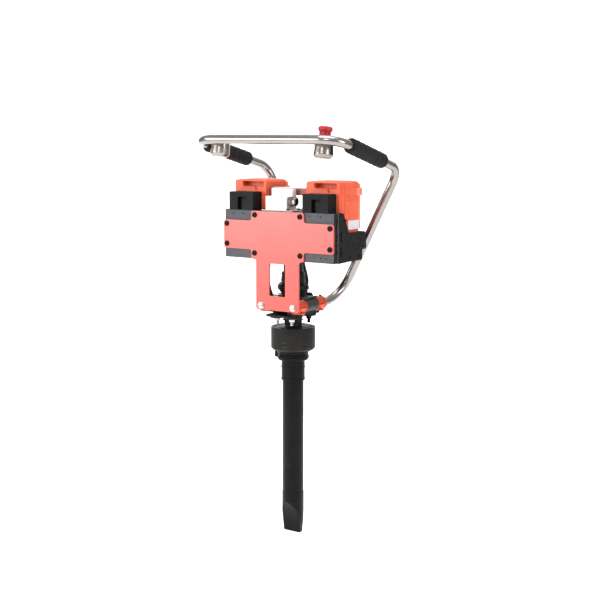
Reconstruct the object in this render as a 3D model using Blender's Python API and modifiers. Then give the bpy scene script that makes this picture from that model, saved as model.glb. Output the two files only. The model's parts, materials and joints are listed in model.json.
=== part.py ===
"""A battery-driven electric jackhammer, in metres, +Z up.

The origin is the middle of the chisel's edge, on the tool's axis. +X is the right of the red
front panel as one faces it, and +Y points from the panel towards the handle's legs.
"""

import math

import bmesh
import bpy
from mathutils import Matrix, Vector

# Clearances
GAP = 0.0003
RUNNING = 0.0004

# Tool, from the edge up
EDGE_THICKNESS = 0.010
EDGE_WIDTH = 0.057
EDGE_CORNER = 0.004
WEDGE_TOP = 0.091
WEDGE_HOLLOW = 2.2
SHOULDER_RADIUS = 0.031
SHOULDER_HEIGHT = 0.121
TOOL_RADIUS = 0.030
TOOL_BORE_RADIUS = 0.022
TOOL_REACH = 0.444
TOOL_SOCKET_DEPTH = 0.076

# Sleeve, collar and exciter
SLEEVE_WALL = 0.003
SLEEVE_LENGTH = 0.0877
COLLAR_WALL = 0.010
COLLAR_HEIGHT = 0.028
COLLAR_EAR_REACH = 0.0125
EXCITER_RADIUS = 0.0625
EXCITER_HEIGHT = 0.066
EXCITER_WALL = 0.008
EXCITER_FLOOR = 0.010
COVER_THICKNESS = 0.008
NECK_RADIUS = 0.025
NECK_HEIGHT = 0.0332
BEARING_RADIUS = 0.0172
BEARING_HEIGHT = 0.007
ECCENTRIC_RADIUS = 0.048
ECCENTRIC_HEIGHT = 0.030
ECCENTRIC_HUB_RADIUS = 0.018
ECCENTRIC_SHAFT_RADIUS = 0.010

# Isolator between the hammer unit and the handle's rods
BASE_PLATE_HALF_X = 0.042
BASE_PLATE_HALF_Y = 0.077
BASE_PLATE_THICKNESS = 0.006
ROD_RISE = 0.0245
ROD_SPACING = 0.107
BUSH_RADIUS = 0.018
BUSH_FRONT_Y = -0.0315
BUSH_REAR_Y = 0.026
CLAMP_RADIUS = 0.0175
FRONT_CLAMP_Y = -0.072
REAR_CLAMP_Y = 0.0655
CLAMP_SPLIT = 0.0016
BOLT_X = 0.025
BOLT_Y = 0.042
BOLT_RADIUS = 0.005
BOLT_HEAD_RADIUS = 0.008
BOLT_HEAD_HEIGHT = 0.005
NUT_HEIGHT = 0.008
STUD_END = 0.0115
PAD_RADIUS = 0.022
PAD_HEIGHT = 0.006
UPPER_PLATE_THICKNESS = 0.005
SADDLE_HEIGHT = 0.0125
SADDLE_INNER_X = 0.014
SADDLE_STRIP_X = 0.034
SADDLE_OUTER_X = 0.060
SADDLE_HALF_Y = 0.050
TRAVEL = 0.002

# Motor column under the housing
BOOT_HEIGHT = 0.0147
BOOT_BOTTOM_RADIUS = 0.030
BOOT_TOP_RADIUS = 0.041
BOOT_WALL = 0.0025
FLANGE_RADIUS = 0.043
FLANGE_HEIGHT = 0.017
COUPLING_BODY_RADIUS = 0.0335
COUPLING_BODY_HEIGHT = 0.034
COUPLING_BORE_RADIUS = 0.024
SPIGOT_RADIUS = 0.0272
HUB_RADIUS = 0.020
HUB_HEIGHT = 0.010
JAW_HEIGHT = 0.010
JAW_ANGLE = math.radians(76)
JAW_CLEARANCE = 0.003
MOTOR_SHAFT_RADIUS = 0.008
MOTOR_RADIUS = 0.055
MOTOR_WALL = 0.004
MOTOR_HEIGHT = 0.112
MOTOR_FLOOR = 0.006
STATOR_BORE = 0.035
STATOR_HEIGHT = 0.085
ROTOR_AIR_GAP = 0.001

# Housing, its bays and covers
BOX_RISE = 0.1283
BOX_HALF_WIDTH = 0.182
BOX_HEIGHT = 0.1343
BOX_FRONT_Y = -0.0732
BOX_REAR_Y = 0.0697
BOX_WALL = 0.003
BAY_FLOOR_RISE = 0.0562
BAY_FRONT_Y = -0.0335
BAY_BESIDE_MOTOR = 0.009
COVER_SHEET = 0.0025
REAR_COVER_RISE = 0.0797

# Red front panel
PANEL_THICKNESS = 0.005
PANEL_WING_X = 0.1834
PANEL_WING_BOTTOM = 0.0256
PANEL_WING_TOP = 0.1057
PANEL_COLUMN_X = 0.088
PANEL_COLUMN_BOTTOM = -0.0008
PANEL_COLUMN_TOP = 0.1335
PANEL_TONGUE_X = 0.0718
PANEL_BELOW_ROD = 0.012
PANEL_CORNER = 0.006
WINDOW_HALF_X = 0.0265
WINDOW_ABOVE_ROD = 0.0282
WINDOW_HEIGHT = 0.0897

# Side brackets
BRACKET_THICKNESS = 0.003
BRACKET_FRONT_Y = -0.057
BRACKET_REAR_Y = 0.0875

# Batteries and their receivers
BATTERY_SIDE_GAP = 0.0027
BATTERY_OUTER_X = 0.1745
BATTERY_FRONT_Y = -0.031
BATTERY_REAR_Y = 0.0665
BATTERY_HEIGHT = 0.1604
BATTERY_CORNER = 0.006
GRIP_RECESS_DEPTH = 0.018
GRIP_RECESS_BOTTOM = 0.0137
GRIP_RECESS_TOP = 0.0037
LATCH_DROP = 0.018
LATCH_HEIGHT = 0.022
LATCH_PROUD = 0.004
LATCH_FRONT_Y = 0.050
LATCH_REAR_Y = 0.0775
LATCH_THICKNESS = 0.009
LATCH_TRAVEL = 0.0025
RECEIVER_INNER_X = 0.0821
RECEIVER_OUTER_X = 0.1646
RECEIVER_FRONT_Y = -0.0774
RECEIVER_REAR_Y = -0.0357
RECEIVER_HEIGHT = 0.0498
RECEIVER_SLOT_DEPTH = 0.012

# Control box on the housing
CONTROL_LEFT_X = -0.0445
CONTROL_RIGHT_X = 0.0255
CONTROL_FRONT_Y = -0.070
CONTROL_STEP_Y = -0.0415
CONTROL_REAR_Y = -0.0215
CONTROL_STEP_HEIGHT = 0.040
CONTROL_HEIGHT = 0.060
CONTROL_WALL = 0.0025
CONTROL_FLANGE = 0.0026
CONTROL_FLANGE_REACH = 0.013
CONNECTOR_RADIUS = 0.0135
CONNECTOR_LENGTH = 0.0255
CONNECTOR_RISE = 0.0265
BRIDGE_DEPTH = 0.026
BRIDGE_HEIGHT = 0.0195
BRIDGE_WALL = 0.003

# Handle: one hoop of tube, its grips and switch cups
TUBE_RADIUS = 0.0127
TUBE_WALL = 0.002
HANDLE_HALF_WIDTH = 0.2378
BAR_RISE = 0.4575
BAR_Y = -0.143
REAR_BEND_X = 0.224
REAR_BEND_Y = 0.195
REAR_BEND_DROP = 0.0825
FOOT_Y = 0.156
FRONT_BEND = 0.058
REAR_BEND = 0.052
FOOT_BEND = 0.090
GRIP_RADIUS = 0.021
GRIP_CLEARANCE = 0.0005
GRIP_LENGTH = 0.186
GRIP_CENTRE_Y = 0.0064
CUP_X = 0.1703
CUP_TILT = math.radians(9)
CUP_RADIUS = 0.0268
CUP_DROP = 0.043
CUP_HEIGHT = 0.038
CUP_WALL = 0.0025
CUP_BAR_GAP = 0.0004
BEZEL_RADIUS = 0.016
BEZEL_HEIGHT = 0.004
PLUNGER_RADIUS = 0.0095
STOP_TRAVEL = 0.005
STOP_NECK_RADIUS = 0.0155
STOP_CAP_RADIUS = 0.0185
STOP_NECK_HEIGHT = 0.0215
STOP_CAP_HEIGHT = 0.013
START_RADIUS = 0.0108
START_PROUD = 0.005

# Cables from the housing to the base plate
CABLE_RADIUS = 0.0045

# Heights worked out from the sizes above
SLEEVE_TOP = TOOL_REACH + SLEEVE_LENGTH
EXCITER_BOTTOM = SLEEVE_TOP + GAP
EXCITER_TOP = EXCITER_BOTTOM + EXCITER_HEIGHT
PLATE_BOTTOM = EXCITER_TOP + NECK_HEIGHT + GAP
PLATE_TOP = PLATE_BOTTOM + BASE_PLATE_THICKNESS
ROD_Z = PLATE_TOP + ROD_RISE
ROD_X = ROD_SPACING / 2
UPPER_PLATE_BOTTOM = ROD_Z + BUSH_RADIUS + GAP
UPPER_PLATE_TOP = UPPER_PLATE_BOTTOM + UPPER_PLATE_THICKNESS
BOLT_HEAD_BOTTOM = UPPER_PLATE_TOP + GAP
PAD_BOTTOM = PLATE_BOTTOM - GAP - PAD_HEIGHT
NUT_TOP = PAD_BOTTOM - GAP
BOX_BOTTOM = ROD_Z + BOX_RISE
BOX_TOP = BOX_BOTTOM + BOX_HEIGHT
BOX_FLOOR_TOP = BOX_BOTTOM + BOX_WALL
BAY_FLOOR = BOX_BOTTOM + BAY_FLOOR_RISE
COLUMN_TOP = BOX_BOTTOM - GAP
FLANGE_BOTTOM = UPPER_PLATE_TOP + BOOT_HEIGHT
FLANGE_TOP = FLANGE_BOTTOM + FLANGE_HEIGHT
COUPLING_TOP = FLANGE_TOP + COUPLING_BODY_HEIGHT
LOWER_HUB_BOTTOM = FLANGE_BOTTOM - 0.0055
LOWER_HUB_TOP = LOWER_HUB_BOTTOM + HUB_HEIGHT
UPPER_HUB_BOTTOM = LOWER_HUB_TOP + JAW_HEIGHT + JAW_CLEARANCE
MOTOR_BOTTOM = BOX_FLOOR_TOP + GAP
STATOR_BOTTOM = MOTOR_BOTTOM + MOTOR_FLOOR + 0.004
BATTERY_BOTTOM = BAY_FLOOR + GAP
BATTERY_TOP = BATTERY_BOTTOM + BATTERY_HEIGHT
BAY_INNER_X = MOTOR_RADIUS + BAY_BESIDE_MOTOR
BATTERY_INNER_X = BAY_INNER_X + BATTERY_SIDE_GAP
BATTERY_PITCH = BATTERY_INNER_X + BATTERY_OUTER_X
RECEIVER_PITCH = RECEIVER_INNER_X + RECEIVER_OUTER_X
ON_BOX = BOX_TOP + GAP
PANEL_BACK_Y = BOX_FRONT_Y - GAP
PANEL_FRONT_Y = PANEL_BACK_Y - PANEL_THICKNESS
BAR_Z = ROD_Z + BAR_RISE
CUP_OFFSET = TUBE_RADIUS + CUP_BAR_GAP - 0.001 + CUP_RADIUS
CUP_TOP = CUP_HEIGHT - CUP_DROP
BEZEL_TOP = CUP_TOP + BEZEL_HEIGHT


def clear_scene():
    """Removes every object that the startup file left."""
    for obj in list(bpy.data.objects):
        bpy.data.objects.remove(obj)


def collection(name):
    made = bpy.data.collections.new(name)
    bpy.context.scene.collection.children.link(made)
    return made


clear_scene()
PARTS = collection("electric_jackhammer")
CUTTERS = collection("cutters")
CUTTERS.hide_render = True


def principled(name, colour, roughness, metallic=0.0):
    """A Principled BSDF material of one colour."""
    material = bpy.data.materials.new(name)
    material.use_nodes = True
    shader = material.node_tree.nodes["Principled BSDF"]
    shader.inputs["Base Color"].default_value = (*colour, 1.0)
    shader.inputs["Roughness"].default_value = roughness
    shader.inputs["Metallic"].default_value = metallic
    return material


RED_PAINT = principled("red_paint", (0.83, 0.16, 0.12), 0.4)
ORANGE_PLASTIC = principled("orange_plastic", (0.86, 0.15, 0.06), 0.45)
ORANGE_PAINT = principled("orange_paint", (0.70, 0.09, 0.03), 0.4)
BLACK_STEEL = principled("black_steel", (0.02, 0.02, 0.02), 0.45)
BLACK_PLASTIC = principled("black_plastic", (0.03, 0.03, 0.035), 0.55)
BLACK_RUBBER = principled("black_rubber", (0.03, 0.03, 0.03), 0.85)
FOAM = principled("grip_foam", (0.04, 0.04, 0.04), 0.95)
STAINLESS = principled("stainless", (0.62, 0.58, 0.55), 0.28, 1.0)
BRIGHT_STEEL = principled("bright_steel", (0.70, 0.70, 0.72), 0.25, 1.0)
WHITE_PLASTIC = principled("white_plastic", (0.92, 0.92, 0.92), 0.4)
RED_PLASTIC = principled("red_plastic", (0.75, 0.03, 0.04), 0.3)
COPPER = principled("copper_winding", (0.60, 0.25, 0.10), 0.4, 1.0)
ALUMINIUM = principled("aluminium", (0.75, 0.75, 0.76), 0.35, 1.0)


def axis_empty(name, position, parent=None):
    """An empty on a joint's axis, to which that joint's pieces are parented."""
    empty = bpy.data.objects.new(name, None)
    empty.empty_display_size = 0.03
    empty.location = position
    PARTS.objects.link(empty)
    if parent is not None:
        empty.parent = parent
        empty.matrix_parent_inverse = Matrix.Translation(parent.location).inverted()
    return empty


def placed(obj, material, parent=None):
    """Gives a finished piece its material and the empty that it moves with."""
    obj.data.materials.clear()
    obj.data.materials.append(material)
    if parent is not None:
        obj.parent = parent
        obj.matrix_parent_inverse = Matrix.Translation(parent.location).inverted()
    return obj


def as_cutter(obj):
    """Moves a helper to the cutters' collection."""
    for owner in list(obj.users_collection):
        owner.objects.unlink(obj)
    CUTTERS.objects.link(obj)
    obj.hide_render = True
    obj.display_type = "WIRE"
    return obj


def combine(obj, other, operation):
    """Adds a Boolean modifier that cuts other from obj or joins it to obj."""
    modifier = obj.modifiers.new(operation.lower(), "BOOLEAN")
    modifier.operation = operation
    modifier.solver = "EXACT"
    modifier.object = as_cutter(other)
    return obj


def mesh_object(name, mesh):
    obj = bpy.data.objects.new(name, mesh)
    PARTS.objects.link(obj)
    return obj


def box(name, low, high):
    """A box between two corners."""
    low, high = Vector(low), Vector(high)
    bm = bmesh.new()
    bmesh.ops.create_cube(bm, size=1.0)
    bmesh.ops.scale(bm, vec=high - low, verts=bm.verts)
    bmesh.ops.translate(bm, vec=(low + high) / 2, verts=bm.verts)
    mesh = bpy.data.meshes.new(name)
    bm.to_mesh(mesh)
    bm.free()
    return mesh_object(name, mesh)


def turned(name, profile, segments=32, closed=False, centre=(0.0, 0.0), smooth=True):
    """A solid turned about a vertical axis from (radius, height) points.

    The outer side of the profile runs from top to bottom.
    """
    mesh = bpy.data.meshes.new(name)
    points = [(radius, 0.0, height) for radius, height in profile]
    edges = [(i, i + 1) for i in range(len(points) - 1)]
    if closed:
        edges.append((len(points) - 1, 0))
    mesh.from_pydata(points, edges, [])
    obj = mesh_object(name, mesh)
    obj.location = (centre[0], centre[1], 0.0)
    screw = obj.modifiers.new("turn", "SCREW")
    screw.axis = "Z"
    screw.steps = segments
    screw.render_steps = segments
    screw.use_merge_vertices = True
    screw.merge_threshold = 0.00001
    screw.use_smooth_shade = smooth
    return obj


def ring(name, inner, outer, bottom, top, segments=32, centre=(0.0, 0.0)):
    """A plain turned ring."""
    profile = [(inner, top), (outer, top), (outer, bottom), (inner, bottom)]
    return turned(name, profile, segments, True, centre)


def cylinder(name, radius, start, end, segments=24):
    """A cylinder between two points."""
    start, end = Vector(start), Vector(end)
    along = end - start
    bm = bmesh.new()
    bmesh.ops.create_cone(
        bm, cap_ends=True, segments=segments, radius1=radius, radius2=radius, depth=along.length
    )
    turn = Vector((0, 0, 1)).rotation_difference(along.normalized()).to_matrix().to_4x4()
    bmesh.ops.transform(bm, matrix=Matrix.Translation((start + end) / 2) @ turn, verts=bm.verts)
    mesh = bpy.data.meshes.new(name)
    bm.to_mesh(mesh)
    bm.free()
    return mesh_object(name, mesh)


def point_along(obj, position, direction):
    """Moves a piece turned about Z, so that its zero height is at position and +Z is direction."""
    obj.rotation_mode = "QUATERNION"
    obj.rotation_quaternion = Vector((0, 0, 1)).rotation_difference(Vector(direction).normalized())
    obj.location = position
    return obj


def rounded(corners, radius, steps=2):
    """The outline through these corners, each replaced by an arc."""
    outline = []
    count = len(corners)
    for index, corner in enumerate(corners):
        here = Vector(corner)
        before = (Vector(corners[index - 1]) - here).normalized()
        after = (Vector(corners[(index + 1) % count]) - here).normalized()
        half = before.angle(after) / 2
        reach = radius / math.tan(half)
        centre = here + (before + after).normalized() * (radius / math.sin(half))
        start = here + before * reach - centre
        end = here + after * reach - centre
        turn = start.angle_signed(end)
        for step in range(steps + 1):
            angle = -turn * step / steps
            spun = Matrix.Rotation(angle, 2) @ start
            outline.append(tuple(centre + spun))
    return outline


def circle(x, y, radius, segments=16):
    """The points of a circle."""
    turns = [2 * math.pi * i / segments for i in range(segments)]
    return [(x + radius * math.cos(t), y + radius * math.sin(t)) for t in turns]


def mirrored_outline(half):
    """A right half outline from bottom to top, closed by its mirror image in x."""
    return list(half) + [(-x, y) for x, y in reversed(half)]


PLANES = {
    "XY": Matrix.Identity(4),
    "XZ": Matrix.Rotation(math.radians(90), 4, "X"),
    "YZ": Matrix(((0, 0, 1, 0), (1, 0, 0, 0), (0, 1, 0, 0), (0, 0, 0, 1))),
}
NORMALS = {"XY": (0, 0, 1), "XZ": (0, 1, 0), "YZ": (1, 0, 0)}


def to_mesh(curve_object, name):
    """The curve's solid as a mesh object with its caps welded on, in the curve's place."""
    graph = bpy.context.evaluated_depsgraph_get()
    mesh = bpy.data.meshes.new_from_object(curve_object.evaluated_get(graph))
    bm = bmesh.new()
    bm.from_mesh(mesh)
    bmesh.ops.remove_doubles(bm, verts=bm.verts, dist=0.000001)
    bm.to_mesh(mesh)
    bm.free()
    made = mesh_object(name, mesh)
    made.matrix_world = curve_object.matrix_world
    bpy.data.objects.remove(curve_object)
    return made


def sheet(name, outline, plane, low, high, holes=()):
    """A flat piece: an outline in XY, XZ or YZ that fills the normal direction from low to high."""
    curve = bpy.data.curves.new(name + "_outline", "CURVE")
    curve.dimensions = "2D"
    curve.fill_mode = "BOTH"
    curve.extrude = (high - low) / 2
    for points in [outline, *holes]:
        spline = curve.splines.new("POLY")
        spline.points.add(len(points) - 1)
        for target, (x, y) in zip(spline.points, points):
            target.co = (x, y, 0.0, 1.0)
        spline.use_cyclic_u = True
    obj = bpy.data.objects.new(name + "_outline", curve)
    PARTS.objects.link(obj)
    middle = Vector(NORMALS[plane]) * ((low + high) / 2)
    obj.matrix_world = Matrix.Translation(middle) @ PLANES[plane]
    bpy.context.view_layer.update()
    return to_mesh(obj, name)


def tube(name, points, radius, resolution, capped=True):
    """A round bar along points."""
    curve = bpy.data.curves.new(name + "_route", "CURVE")
    curve.dimensions = "3D"
    curve.bevel_depth = radius
    curve.bevel_resolution = resolution
    curve.use_fill_caps = capped
    spline = curve.splines.new("POLY")
    spline.points.add(len(points) - 1)
    for target, point in zip(spline.points, points):
        target.co = (*point, 1.0)
    obj = bpy.data.objects.new(name + "_route", curve)
    PARTS.objects.link(obj)
    bpy.context.view_layer.update()
    return to_mesh(obj, name)


def filleted(corners, radii, steps):
    """A route through 3-D corners, with an arc of the given radius at each inner corner."""
    route = [Vector(corners[0])]
    for index in range(1, len(corners) - 1):
        here = Vector(corners[index])
        before = (Vector(corners[index - 1]) - here).normalized()
        after = (Vector(corners[index + 1]) - here).normalized()
        half = before.angle(after) / 2
        radius = radii[index - 1]
        centre = here + (before + after).normalized() * (radius / math.sin(half))
        start = here + before * (radius / math.tan(half)) - centre
        end = here + after * (radius / math.tan(half)) - centre
        count = steps[index - 1]
        axis = start.cross(end).normalized()
        for step in range(count + 1):
            spun = Matrix.Rotation(start.angle(end) * step / count, 3, axis) @ start
            route.append(centre + spun)
    route.append(Vector(corners[-1]))
    return route


def smooth_route(points, count):
    """A Catmull-Rom curve through points, with count steps between each two."""
    ends = [Vector(points[0]) * 2 - Vector(points[1])]
    ends += [Vector(point) for point in points]
    ends.append(Vector(points[-1]) * 2 - Vector(points[-2]))
    route = []
    for index in range(1, len(ends) - 2):
        a, b, c, d = ends[index - 1 : index + 3]
        for step in range(count):
            t = step / count
            route.append(
                0.5 * (2 * b + (c - a) * t + (2 * a - 5 * b + 4 * c - d) * t**2
                       + (3 * b - a - 3 * c + d) * t**3)
            )
    route.append(Vector(points[-1]))
    return route


def make_tool(hammer):
    """The hollow tool with its wedge-shaped chisel end."""
    bore_bottom = SHOULDER_HEIGHT + 0.014
    top = TOOL_REACH + TOOL_SOCKET_DEPTH
    step = SHOULDER_HEIGHT + 0.002
    profile = [
        (0.0, bore_bottom),
        (TOOL_BORE_RADIUS, bore_bottom),
        (TOOL_BORE_RADIUS, top),
        (TOOL_RADIUS, top),
        (TOOL_RADIUS, step),
        (SHOULDER_RADIUS, SHOULDER_HEIGHT),
        (SHOULDER_RADIUS, 0.0),
        (0.0, 0.0),
    ]
    tool = turned("chisel_tool", profile, 32)
    outside = SHOULDER_RADIUS + 0.004
    edge = EDGE_THICKNESS / 2
    swell = SHOULDER_RADIUS - edge
    heights = [WEDGE_TOP * i / 8 for i in range(9)]
    hollow = [(edge + swell * (z / WEDGE_TOP) ** WEDGE_HOLLOW, z) for z in heights]
    for side, label in ((1, "rear"), (-1, "front")):
        outline = [(edge, -0.002), *hollow, (outside, WEDGE_TOP + 0.002), (outside, -0.002)]
        outline = [(side * y, z) for y, z in outline]
        combine(tool, sheet(label + "_wedge_cut", outline, "YZ", -0.04, 0.04), "DIFFERENCE")
    half = EDGE_WIDTH / 2
    for side, label in ((1, "right"), (-1, "left")):
        outline = [
            (half - EDGE_CORNER, -0.002),
            (half - EDGE_CORNER, 0.0),
            (half - 0.3 * EDGE_CORNER, 0.3 * EDGE_CORNER),
            (half, EDGE_CORNER),
            (SHOULDER_RADIUS + 0.001, WEDGE_TOP - 0.016),
            (outside, WEDGE_TOP - 0.016),
            (outside, -0.002),
        ]
        outline = [(side * x, z) for x, z in outline]
        combine(tool, sheet(label + "_side_cut", outline, "XZ", -0.04, 0.04), "DIFFERENCE")
    placed(tool, BLACK_STEEL, hammer)


def make_sleeve(hammer):
    """The sleeve that the tool sits in, and the split collar that clamps it."""
    inner = TOOL_RADIUS + GAP
    outer = inner + SLEEVE_WALL
    chamfer = 0.0015
    profile = [
        (inner, SLEEVE_TOP),
        (outer, SLEEVE_TOP),
        (outer, TOOL_REACH + chamfer),
        (outer - chamfer, TOOL_REACH),
        (inner, TOOL_REACH),
    ]
    placed(turned("tool_sleeve", profile, 32, True), BLACK_STEEL, hammer)

    collar_inner = outer + GAP
    collar_outer = collar_inner + COLLAR_WALL
    top = SLEEVE_TOP - 0.0005
    bottom = top - COLLAR_HEIGHT
    groove = top - 0.010
    profile = [
        (collar_inner, top),
        (collar_outer, top),
        (collar_outer, groove),
        (collar_outer - 0.002, groove - 0.001),
        (collar_outer - 0.002, groove - 0.003),
        (collar_outer, groove - 0.004),
        (collar_outer, bottom + 0.002),
        (collar_outer - 0.002, bottom),
        (collar_inner, bottom),
    ]
    collar = turned("clamp_collar", profile, 32, True)
    ear_low = (-collar_outer - COLLAR_EAR_REACH, -0.011, bottom + 0.003)
    ear_high = (-collar_inner - 0.003, 0.011, top - 0.003)
    combine(collar, box("collar_ear", ear_low, ear_high), "UNION")
    slit_low = (-collar_outer - 0.03, -CLAMP_SPLIT, bottom - 0.01)
    slit_high = (-collar_inner + 0.006, CLAMP_SPLIT, top + 0.01)
    combine(collar, box("collar_slit", slit_low, slit_high), "DIFFERENCE")
    placed(collar, BLACK_STEEL, hammer)


def make_exciter(hammer):
    """The drum that holds the eccentric, with its cover, neck and two bearings."""
    low = EXCITER_BOTTOM
    rim = EXCITER_TOP - COVER_THICKNESS - GAP
    pocket = BEARING_RADIUS + GAP
    seat = low + EXCITER_FLOOR - BEARING_HEIGHT
    chamfer = 0.006
    inner = EXCITER_RADIUS - EXCITER_WALL
    profile = [
        (0.0, seat),
        (pocket, seat),
        (pocket, low + EXCITER_FLOOR),
        (inner, low + EXCITER_FLOOR),
        (inner, rim),
        (EXCITER_RADIUS, rim),
        (EXCITER_RADIUS, low + chamfer),
        (EXCITER_RADIUS - chamfer, low),
        (0.0, low),
    ]
    placed(turned("exciter_housing", profile, 36), BLACK_STEEL, hammer)

    disc = EXCITER_TOP - COVER_THICKNESS
    bearing_top = disc + BEARING_HEIGHT
    edge = 0.002
    through = ECCENTRIC_SHAFT_RADIUS + 0.0025
    profile = [
        (through, EXCITER_TOP + NECK_HEIGHT),
        (NECK_RADIUS, EXCITER_TOP + NECK_HEIGHT),
        (NECK_RADIUS, EXCITER_TOP),
        (EXCITER_RADIUS - edge, EXCITER_TOP),
        (EXCITER_RADIUS, EXCITER_TOP - edge),
        (EXCITER_RADIUS, disc),
        (pocket, disc),
        (pocket, bearing_top + GAP),
        (through, bearing_top + GAP),
    ]
    placed(turned("exciter_cover", profile, 36, True), BLACK_STEEL, hammer)

    bore = ECCENTRIC_SHAFT_RADIUS + GAP
    for name, bottom in (("lower_bearing", seat + GAP), ("upper_bearing", disc)):
        bearing = ring(name, bore, BEARING_RADIUS, bottom, bottom + BEARING_HEIGHT - GAP, 24)
        placed(bearing, BRIGHT_STEEL, hammer)


def jaws(name, bottom, top, start):
    """The two driving jaws of a coupling hub, as helpers to be joined to it."""
    made = []
    for half in (0, 1):
        first = start + math.pi * half
        angles = [first + JAW_ANGLE * i / 6 for i in range(7)]
        reach = HUB_RADIUS - 0.0015
        outer = [(reach * math.cos(a), reach * math.sin(a)) for a in angles]
        inner = [(0.009 * math.cos(a), 0.009 * math.sin(a)) for a in reversed(angles)]
        made.append(sheet(f"{name}_{half}", outer + inner, "XY", bottom, top))
    return made


def make_drive(rotor, eccentric):
    """Motor shaft and rotor above, eccentric shaft and weight below, met by a jaw coupling."""
    bite = 0.001
    seat = EXCITER_BOTTOM + EXCITER_FLOOR - BEARING_HEIGHT
    profile = [
        (0.0, LOWER_HUB_TOP),
        (HUB_RADIUS, LOWER_HUB_TOP),
        (HUB_RADIUS, LOWER_HUB_BOTTOM),
        (ECCENTRIC_SHAFT_RADIUS, LOWER_HUB_BOTTOM),
        (ECCENTRIC_SHAFT_RADIUS, seat + 2 * GAP),
        (0.0, seat + 2 * GAP),
    ]
    shaft = turned("eccentric_shaft", profile, 24)
    for jaw in jaws("lower_jaw", LOWER_HUB_TOP - bite, LOWER_HUB_TOP + JAW_HEIGHT, 0.0):
        combine(shaft, jaw, "UNION")
    placed(shaft, BRIGHT_STEEL, eccentric)

    middle = EXCITER_BOTTOM + (EXCITER_HEIGHT + EXCITER_FLOOR - COVER_THICKNESS) / 2
    sweep = [math.radians(-180 + 15 * i) for i in range(13)]
    rest = [math.radians(22.5 * i) for i in range(1, 8)]
    outline = [(ECCENTRIC_RADIUS * math.cos(a), ECCENTRIC_RADIUS * math.sin(a)) for a in sweep]
    outline += [(ECCENTRIC_HUB_RADIUS * math.cos(a), ECCENTRIC_HUB_RADIUS * math.sin(a)) for a in rest]
    bore = circle(0, 0, ECCENTRIC_SHAFT_RADIUS + GAP, 24)
    low = middle - ECCENTRIC_HEIGHT / 2
    weight = sheet("eccentric_weight", outline, "XY", low, low + ECCENTRIC_HEIGHT, [bore])
    placed(weight, BRIGHT_STEEL, eccentric)

    shaft_top = MOTOR_BOTTOM + MOTOR_HEIGHT - 0.006
    profile = [
        (0.0, shaft_top),
        (MOTOR_SHAFT_RADIUS, shaft_top),
        (MOTOR_SHAFT_RADIUS, UPPER_HUB_BOTTOM + HUB_HEIGHT),
        (HUB_RADIUS, UPPER_HUB_BOTTOM + HUB_HEIGHT),
        (HUB_RADIUS, UPPER_HUB_BOTTOM),
        (0.0, UPPER_HUB_BOTTOM),
    ]
    shaft = turned("motor_shaft", profile, 24)
    quarter = math.pi / 2
    for jaw in jaws("upper_jaw", UPPER_HUB_BOTTOM - JAW_HEIGHT, UPPER_HUB_BOTTOM + bite, quarter):
        combine(shaft, jaw, "UNION")
    placed(shaft, BRIGHT_STEEL, rotor)

    centres = [(JAW_ANGLE + quarter) / 2 + quarter * i for i in range(4)]
    spread = (quarter - JAW_ANGLE) / 2 - math.radians(2)
    star = []
    for centre in centres:
        for radius, angle in ((0.0084, -spread), (0.0175, -spread), (0.0175, spread), (0.0084, spread)):
            star.append((radius * math.cos(centre + angle), radius * math.sin(centre + angle)))
        for step in (1, 2, 3):
            angle = centre + quarter * step / 4
            star.append((0.0084 * math.cos(angle), 0.0084 * math.sin(angle)))
    low = LOWER_HUB_TOP + JAW_CLEARANCE
    spider = sheet("coupling_spider", star, "XY", low, UPPER_HUB_BOTTOM - GAP)
    placed(spider, RED_PLASTIC, rotor)

    low = STATOR_BOTTOM + 0.003
    core = ring(
        "rotor_core", MOTOR_SHAFT_RADIUS + GAP, STATOR_BORE - ROTOR_AIR_GAP, low,
        STATOR_BOTTOM + STATOR_HEIGHT - 0.003, 32,
    )
    placed(core, BRIGHT_STEEL, rotor)


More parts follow.
